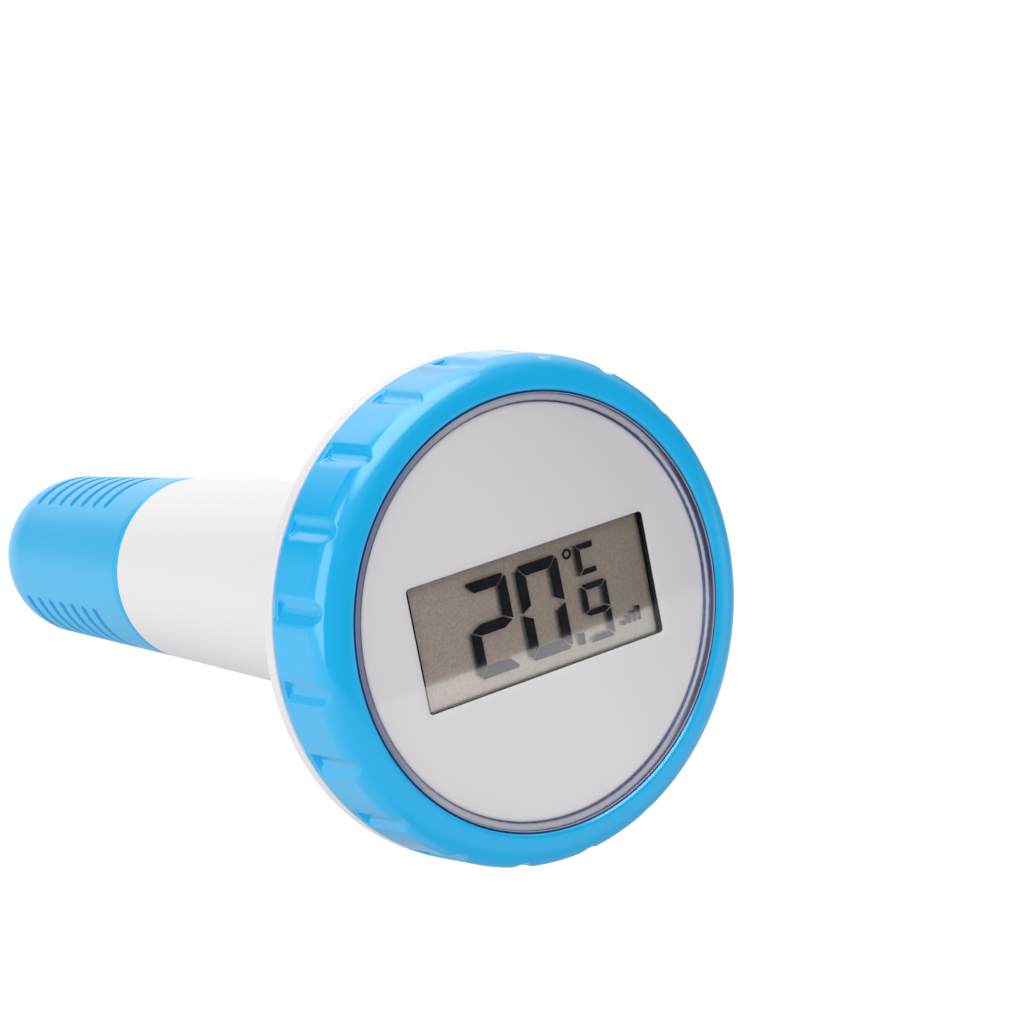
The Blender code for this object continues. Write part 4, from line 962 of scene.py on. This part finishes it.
def make_shadow(loops, height):
    """A painted shadow: a halo to the left of each upright edge of the figures, darkest at the edge."""
    steep, sag = 3, 0.25
    points, faces, depth = [], [], []
    for loop in loops:
        for place, (x0, y0) in enumerate(loop):
            x1, y1 = loop[(place + 1) % len(loop)]
            if y0 - y1 < steep * abs(x1 - x0):
                continue
            base = len(points)
            for reach, value in HALO:
                for x, y in ((x0, y0), (x1, y1)):
                    points.append(((x - reach) * MM, (y + sag * reach) * MM, height * MM))
                    depth.append(value)
            faces += [(base + i, base + i + 1, base + i + 3, base + i + 2) for i in (0, 2, 4)]
    mesh = bpy.data.meshes.new("lcd_shadow")
    mesh.from_pydata(points, [], faces)
    mesh.attributes.new("depth", "FLOAT", "POINT").data.foreach_set("value", depth)
    mesh.materials.append(make_shadow_material())
    item = bpy.data.objects.new("lcd_shadow", mesh)
    bpy.context.scene.collection.objects.link(item)
    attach(item, "hull")


# ---------------------------------------------------------------- body

FLARE_BOTTOM = 146.0
FLARE_TOP_RADIUS = 38.5
TUBE_TOP_RADIUS = 23.4
WALL = 2.2
COLLAR_HEIGHT = 3.0
NECK_RADIUS = 42.0
NECK_BORE = 38.9
NECK_FLOOR = 172.0
NECK_RIDGE = 1.3
SPIGOT_RADIUS = 16.0
SPIGOT_BORE = 13.7
SPIGOT_LIP_BORE = 12.5
SPIGOT_LIP = 0.7
SPIGOT_RIDGE = 1.0


def tube_radius(height):
    share = (RING_BACK - height) / (RING_BACK - SHOULDER)
    return TUBE_TOP_RADIUS + (TUBE_END_RADIUS - TUBE_TOP_RADIUS) * share


def flare(wall, top_radius, top_height, steps):
    """The quarter ellipse from the tube up to the collar, wall further in than the tube's side."""
    points = []
    for step in range(steps + 1):
        share = math.sin(step / steps * math.pi / 2)
        height = FLARE_BOTTOM + (top_height - FLARE_BOTTOM) * share
        tube = tube_radius(height) - wall
        points.append((tube + (top_radius - tube) * (1 - math.sqrt(1 - share * share)), height))
    return points


def make_body():
    """The one-piece shell: threaded neck, collar, flare, tapered tube and threaded spigot."""
    radius, bottom, top = span("float_body")
    collar_top = RING_BACK - 0.3
    collar_bottom = collar_top - COLLAR_HEIGHT
    outline = [
        (NECK_BORE, top, 0.3),
        (NECK_RADIUS, top, 0.4),
        (NECK_RADIUS, collar_top, 0.3),
        (radius, collar_top, 0.45),
        (radius, collar_bottom, 0.8),
        *reversed(flare(0, FLARE_TOP_RADIUS, collar_bottom, 30)),
        (tube_radius(SHOULDER), SHOULDER, 0.25),
        (SPIGOT_RADIUS, SHOULDER, 0.3),
        (SPIGOT_RADIUS, bottom, 0.6),
        (SPIGOT_LIP_BORE, bottom, 0.2),
        (SPIGOT_LIP_BORE, bottom + SPIGOT_LIP),
        (SPIGOT_BORE, bottom + SPIGOT_LIP),
        (SPIGOT_BORE, SHOULDER, 0.5),
        (tube_radius(SHOULDER) - WALL, SHOULDER + 2),
        *flare(WALL, FLARE_TOP_RADIUS - 3, NECK_FLOOR, 12),
        (NECK_BORE, NECK_FLOOR, 0.3),
    ]
    shell = lathe(fillet(outline, 5), 256)
    neck = thread(NECK_RADIUS, NECK_RADIUS + NECK_RIDGE, start=RING_BACK + 4, **NECK_THREAD)
    spigot = thread(SPIGOT_RADIUS, SPIGOT_RADIUS + SPIGOT_RIDGE, start=bottom + 2.2, **SPIGOT_THREAD)
    parts = [shell, neck, spigot]
    piece("body_shell", parts, "hull", body_plastic, ["float_body"], sharp=50)


# ---------------------------------------------------------------- end cap

CAP_DOME = 19.4
CAP_NOSE = 17.4
DOME_POWER = 2.25
CAP_FLOOR = 2.8
CAP_BORE = 17.5
CAP_SEAL_BORE = 17.8
CAP_SEAL_HEIGHT = 2.6
CAP_STEP = 51.2
CAP_INNER_RADIUS = 15.2
CAP_RIDGE = 1.0
CUP_SEAT = ((7.0, 3.4), (6.5, 4.0), (6.0, 22.0, 0.2), (4.8, 22.0, 0.2), (4.8, CAP_FLOOR))
GROOVES = 7
GROOVE_TOP = 49.8
GROOVE_SPACING = 5.25
GROOVE_WIDTH = 1.8
GROOVE_DEPTH = 1.0
GROOVE_WALL = (0.32 * GROOVE_WIDTH, 0.58 * GROOVE_WIDTH)
GROOVE_HALF_ANGLE = math.radians(54.5)
GROOVE_CENTRES = (math.radians(70), math.radians(250))


def dome(radius, depth):
    """The radius of a rounded nose at a depth from 0 at its shoulder to 1 at its tip."""
    return radius * (1 - min(depth, 1) ** DOME_POWER) ** (1 / DOME_POWER)


def cap_radius(height):
    if height < CAP_DOME:
        return dome(CAP_NOSE, (CAP_DOME - height) / CAP_DOME)
    share = (SHOULDER - height) / (SHOULDER - CAP_DOME)
    return TUBE_END_RADIUS + (CAP_NOSE - TUBE_END_RADIUS) * share


def cut_grooves(radius, height, angle):
    """Sinks the finger grooves, which have rounded ends and a rounded floor."""
    deep = np.zeros_like(radius)
    for centre in GROOVE_CENTRES:
        turn = np.abs((angle - centre + math.pi) % TAU - math.pi)
        beyond = np.maximum(0, (turn - GROOVE_HALF_ANGLE) * CAP_NOSE + GROOVE_WIDTH / 2)
        for groove in range(GROOVES):
            away = np.hypot(beyond, height - (GROOVE_TOP - groove * GROOVE_SPACING))
            deep = np.maximum(deep, 1 - smoothstep(away, *GROOVE_WALL))
    outside = (radius > CAP_INNER_RADIUS + 0.7) & (height < GROOVE_TOP + 2)
    outside &= height > GROOVE_TOP - GROOVES * GROOVE_SPACING
    return radius - np.where(outside, deep * GROOVE_DEPTH, 0), height


def cap_levels(rim):
    """Heights of the cap's outer points: close together over the grooves, spread over the nose."""
    heights = []
    for groove in range(GROOVES):
        middle = GROOVE_TOP - groove * GROOVE_SPACING
        heights += [middle + offset for offset in np.arange(-1.0, 1.01, 0.125)]
        heights += [middle - 1.4, middle - 2.6, middle - 3.8]
    lowest = min(heights)
    heights += list(np.linspace(GROOVE_TOP + 1.8, rim - 0.4, 8))
    heights += [lowest * (1 - math.cos(step / 22 * math.pi / 2)) for step in range(1, 22)]
    return sorted(heights)


def cap_angles():
    """Angles round the cap, close together at the ends of the grooves."""
    ends = [(centre + side * GROOVE_HALF_ANGLE) % TAU for centre in GROOVE_CENTRES for side in (-1, 1)]
    fine, coarse, margin = math.radians(0.6), math.radians(2.0), math.radians(5)
    angles = [0.0]
    while angles[-1] < TAU:
        near = min(abs((angles[-1] - end + math.pi) % TAU - math.pi) for end in ends)
        angles.append(angles[-1] + (fine if near < margin else coarse))
    return np.array(angles[:-1])


def make_cap():
    """The screw cap with its finger grooves, and inside its nose the seat of the heat cup."""
    _, bottom, rim = span("end_cap")
    outside = [(cap_radius(height), height) for height in cap_levels(rim)]
    inner_dome = []
    for step in range(1, 8):
        depth = math.sin(step / 8 * math.pi / 2)
        across = dome(CAP_INNER_RADIUS, depth)
        if across > CUP_SEAT[0][0]:
            inner_dome.append((across, CAP_DOME - (CAP_DOME - CAP_FLOOR) * depth))
    inside = fillet([
        (cap_radius(rim), rim, 0.25),
        (CAP_SEAL_BORE, rim, 0.2),
        (CAP_SEAL_BORE, rim - CAP_SEAL_HEIGHT, 0.2),
        (CAP_BORE, rim - CAP_SEAL_HEIGHT),
        (CAP_BORE, CAP_STEP + 1),
        (CAP_INNER_RADIUS, CAP_STEP),
        (CAP_INNER_RADIUS, CAP_DOME),
        *inner_dome,
        *CUP_SEAT,
        (0.0, CAP_FLOOR),
        (0.0, bottom),
    ])
    shell = lathe(outside + inside, angles=cap_angles(), shape=cut_grooves)
    ridge = thread(CAP_BORE, CAP_BORE - CAP_RIDGE, start=CAP_STEP + 4.5, **SPIGOT_THREAD)
    piece("cap_shell", [shell, ridge], "cap", cap_plastic, ["end_cap"], sharp=60)


# ---------------------------------------------------------------- inner pieces

SLOT_LOOKS = {
    "rubber_grey": rubber("inner_rubber", (0.12, 0.12, 0.15)),
    "reflector": plated("foil", (0.42, 0.40, 0.36), 0.35),
    "zebra_pink": rubber("zebra_rubber", (0.75, 0.35, 0.45)),
    "frame_white": moulded("frame_white", (0.80, 0.80, 0.78), 0.5, relief=0.004),
    "board_green": moulded("board_green", (0.015, 0.20, 0.08), 0.35, grain=0.5, relief=0.004, drift=0.1),
    "chip_black": moulded("chip_black", (0.015, 0.015, 0.018), 0.55, grain=0.1, relief=0.006, drift=0.2),
    "steel": plated("plated_steel", (0.60, 0.60, 0.61)),
    "brass": plated("plain_brass", (0.72, 0.52, 0.24)),
    "button_dark": rubber("button_dark", (0.05, 0.05, 0.06)),
    "button_grey": rubber("button_grey", (0.3, 0.3, 0.32)),
    "holder_black": moulded("holder_black", (0.025, 0.025, 0.027), 0.5, relief=0.004, drift=0.1),
    "cell_jacket": moulded("cell_jacket", (0.05, 0.26, 0.16), 0.25, relief=0.001, metallic=0.5),
    "ballast_grey": plated("ballast_zinc", (0.42, 0.43, 0.45), 0.4),
    "cable_black": rubber("cable_black", (0.03, 0.03, 0.035)),
    "plug_ivory": moulded("plug_ivory", (0.78, 0.76, 0.68), 0.45, relief=0.003),
    "lead_red": rubber("lead_red", (0.5, 0.02, 0.02), 0.45),
    "lead_black": rubber("lead_black", (0.02, 0.02, 0.02), 0.45),
}


def dress_inner_nodes():
    slots = {part["node"]: part["material_slot"] for part in frame["record"]["subparts"]}
    for name, item in nodes.items():
        if item.hide_render:
            continue
        item.data.materials.clear()
        item.data.materials.append(SLOT_LOOKS[slots[name]])


# ---------------------------------------------------------------- studio

RIGHT = Vector((0.7959, -0.1867, 0.5759))
UP = Vector((0.2627, 0.9635, -0.0507))
BACK = Vector((-0.5454, 0.1916, 0.8159))
CAMERA_DISTANCE = 0.6322
CAMERA_LENS = 122.74


CAMERA_AZIMUTH = math.radians(157.92)
CAMERA_ELEVATION = math.radians(54.0)
PLUMB_LEAN = (0.891, 0.454)


def make_camera():
    """The camera stands off from the display's centre and looks along -BACK."""
    data = bpy.data.cameras.new("camera")
    data.lens = CAMERA_LENS
    data.sensor_width = 36
    data.clip_start = 0.01
    camera = bpy.data.objects.new("camera", data)
    bpy.context.scene.collection.objects.link(camera)
    aim = Vector((0, 0, RING_TOP * MM))
    offset = Vector((
        math.cos(CAMERA_ELEVATION) * math.cos(CAMERA_AZIMUTH),
        math.cos(CAMERA_ELEVATION) * math.sin(CAMERA_AZIMUTH),
        math.sin(CAMERA_ELEVATION),
    ))
    turn = Matrix((RIGHT, UP, BACK)).transposed().to_4x4()
    camera.matrix_world = Matrix.Translation(aim + offset * CAMERA_DISTANCE) @ turn
    bpy.context.scene.camera = camera


def make_world():
    """A white table under an overhead box, with a lit wall behind and a window to the left.

    Its plumb line leans back from the object's axis, as for an object lying on that table. Camera
    rays see plain white, diffuse rays a soft gradient, and glossy rays the table, box and window.
    rise is the sine of a direction's height over the table, and turn its bearing in degrees: 0
    away from the camera, 90 to its right and 180 behind it.
    """
    world = bpy.data.worlds.new("studio")
    bpy.context.scene.world = world
    graph = Graph(world)
    world.cycles.sampling_method = "NONE"
    toward = graph.add("TexCoord").outputs["Generated"]

    def along(axis):
        return graph.vector("DOT_PRODUCT", toward, tuple(axis))

    right, up, back = along(RIGHT), along(UP), along(BACK)
    plumb = (PLUMB_LEAN[0] * UP + PLUMB_LEAN[1] * BACK).normalized()
    ahead = (-BACK + PLUMB_LEAN[1] * plumb).normalized()
    rise = along(plumb)
    turn = graph.product(graph.math("ARCTAN2", right, along(ahead)), 180 / math.pi)

    def lobe(degrees, power, strength):
        """A broad glow round one bearing."""
        angle = math.radians(degrees)
        aim = math.sin(angle) * RIGHT + math.cos(angle) * ahead
        return graph.product(graph.math("POWER", graph.largest(along(aim), 0.0), power), strength)

    def turned(*ramps):
        """1 between bearings, each ramp a (from, to) over which the share grows from 0 to 1."""
        return graph.product(*(graph.step(turn, low, high) for low, high in ramps))

    soft = graph.total(
        0.788,
        graph.product(right, -0.185),
        graph.product(up, 0.10),
        graph.product(back, 0.235),
        graph.step(up, -0.5, -1.0, (0.0, -0.03)),
    )

    table = graph.total(lobe(-110, 2, 0.95), lobe(85, 3, 0.3), lobe(-15, 3, 0.6), 0.7)
    own_shadow = graph.product(turned((5, 20), (90, 62)), graph.step(rise, -0.55, -0.12))
    beside = graph.product(turned((-92, -80), (-38, -54)), graph.step(rise, -0.30, -0.12))
    beneath = graph.product(turned((-55, -22)), graph.step(rise, -0.45, -0.75))
    for shade, share in ((own_shadow, 0.8), (beside, 0.6), (beneath, 0.5)):
        table = graph.product(table, graph.less(graph.product(shade, share)))
    table_edge = graph.linear(turn, 108, 112, (0.0370, 0.0398))
    over_edge = graph.math("SUBTRACT", rise, table_edge)
    table = graph.product(table, graph.step(over_edge, 0.0004, -0.0006))

    wall = graph.total(graph.product(rise, rise, 4.6), 1.35)
    wall = graph.product(wall, graph.step(turn, -62, -36), graph.step(turn, 72, 0))
    low_right = graph.product(turned((5, 25)), graph.step(rise, 0.22, 0.05), 0.8)
    wall = graph.product(wall, graph.less(low_right))
    window = graph.product(turned((-154, -145), (-100, -110)), graph.step(rise, 0.84, 0.74, (0.0, 4.7)))
    blind = graph.product(turned((-124, -129)), graph.step(rise, 0.61, 0.67), 0.88)
    window = graph.product(window, graph.less(blind))
    corner = graph.product(turned((-112, -100), (-62, -80)), 0.45)
    box = graph.total(graph.step(rise, 0.82, 0.93, (0.0, 6.4)), graph.step(rise, 0.58, 0.80, (0.0, 0.6)))
    room = graph.product(graph.largest(wall, window, corner, box), graph.step(rise, 0.03, 0.07))
    mirror = graph.total(table, room, 0.02)

    rays = graph.add("LightPath").outputs
    level = graph.add("Mix", {"Factor": rays["Is Glossy Ray"], 2: soft, 3: mirror}).outputs[0]
    level = graph.add("Mix", {"Factor": rays["Is Camera Ray"], 2: level, 3: 1.0}).outputs[0]
    sky = graph.add("Background", {"Color": (1, 1, 1, 1), "Strength": level}).outputs[0]
    graph.output(sky, "OutputWorld")


FLOOR_REACH = 6.0
FLOOR_GLOW = 0.91
PAPER_CLOUD = 40


def make_floor():
    """A pale floor that fades into the white behind it: it glows, and takes a faint shadow."""
    mesh = bpy.data.meshes.new("floor")
    corners = ((-1, -1), (1, -1), (1, 1), (-1, 1))
    mesh.from_pydata([(x * FLOOR_REACH, y * FLOOR_REACH, 0) for x, y in corners], [], [(0, 1, 2, 3)])
    material, graph = new_graph("floor_white")
    tone = graph.mix(graph.noise(PAPER_CLOUD, 2), (0.138, 0.138, 0.138, 1), (0.142, 0.142, 0.142, 1))
    matte = graph.add("BsdfDiffuse", {"Color": tone}).outputs[0]
    glow = graph.add("Emission", {"Color": (1, 1, 1, 1), "Strength": FLOOR_GLOW}).outputs[0]
    graph.output(graph.add("AddShader", {0: matte, 1: glow}).outputs[0])
    mesh.materials.append(material)
    floor = bpy.data.objects.new("floor", mesh)
    bpy.context.scene.collection.objects.link(floor)
    floor.visible_glossy = False
    floor.visible_diffuse = False


make_ring()
make_lens()
make_gasket()
make_dial()
make_window_wall()
make_display()
make_body()
make_cap()
dress_inner_nodes()
make_camera()
make_world()
make_floor()

bpy.context.scene.view_settings.view_transform = "Standard"
bpy.context.scene.view_settings.look = "None"
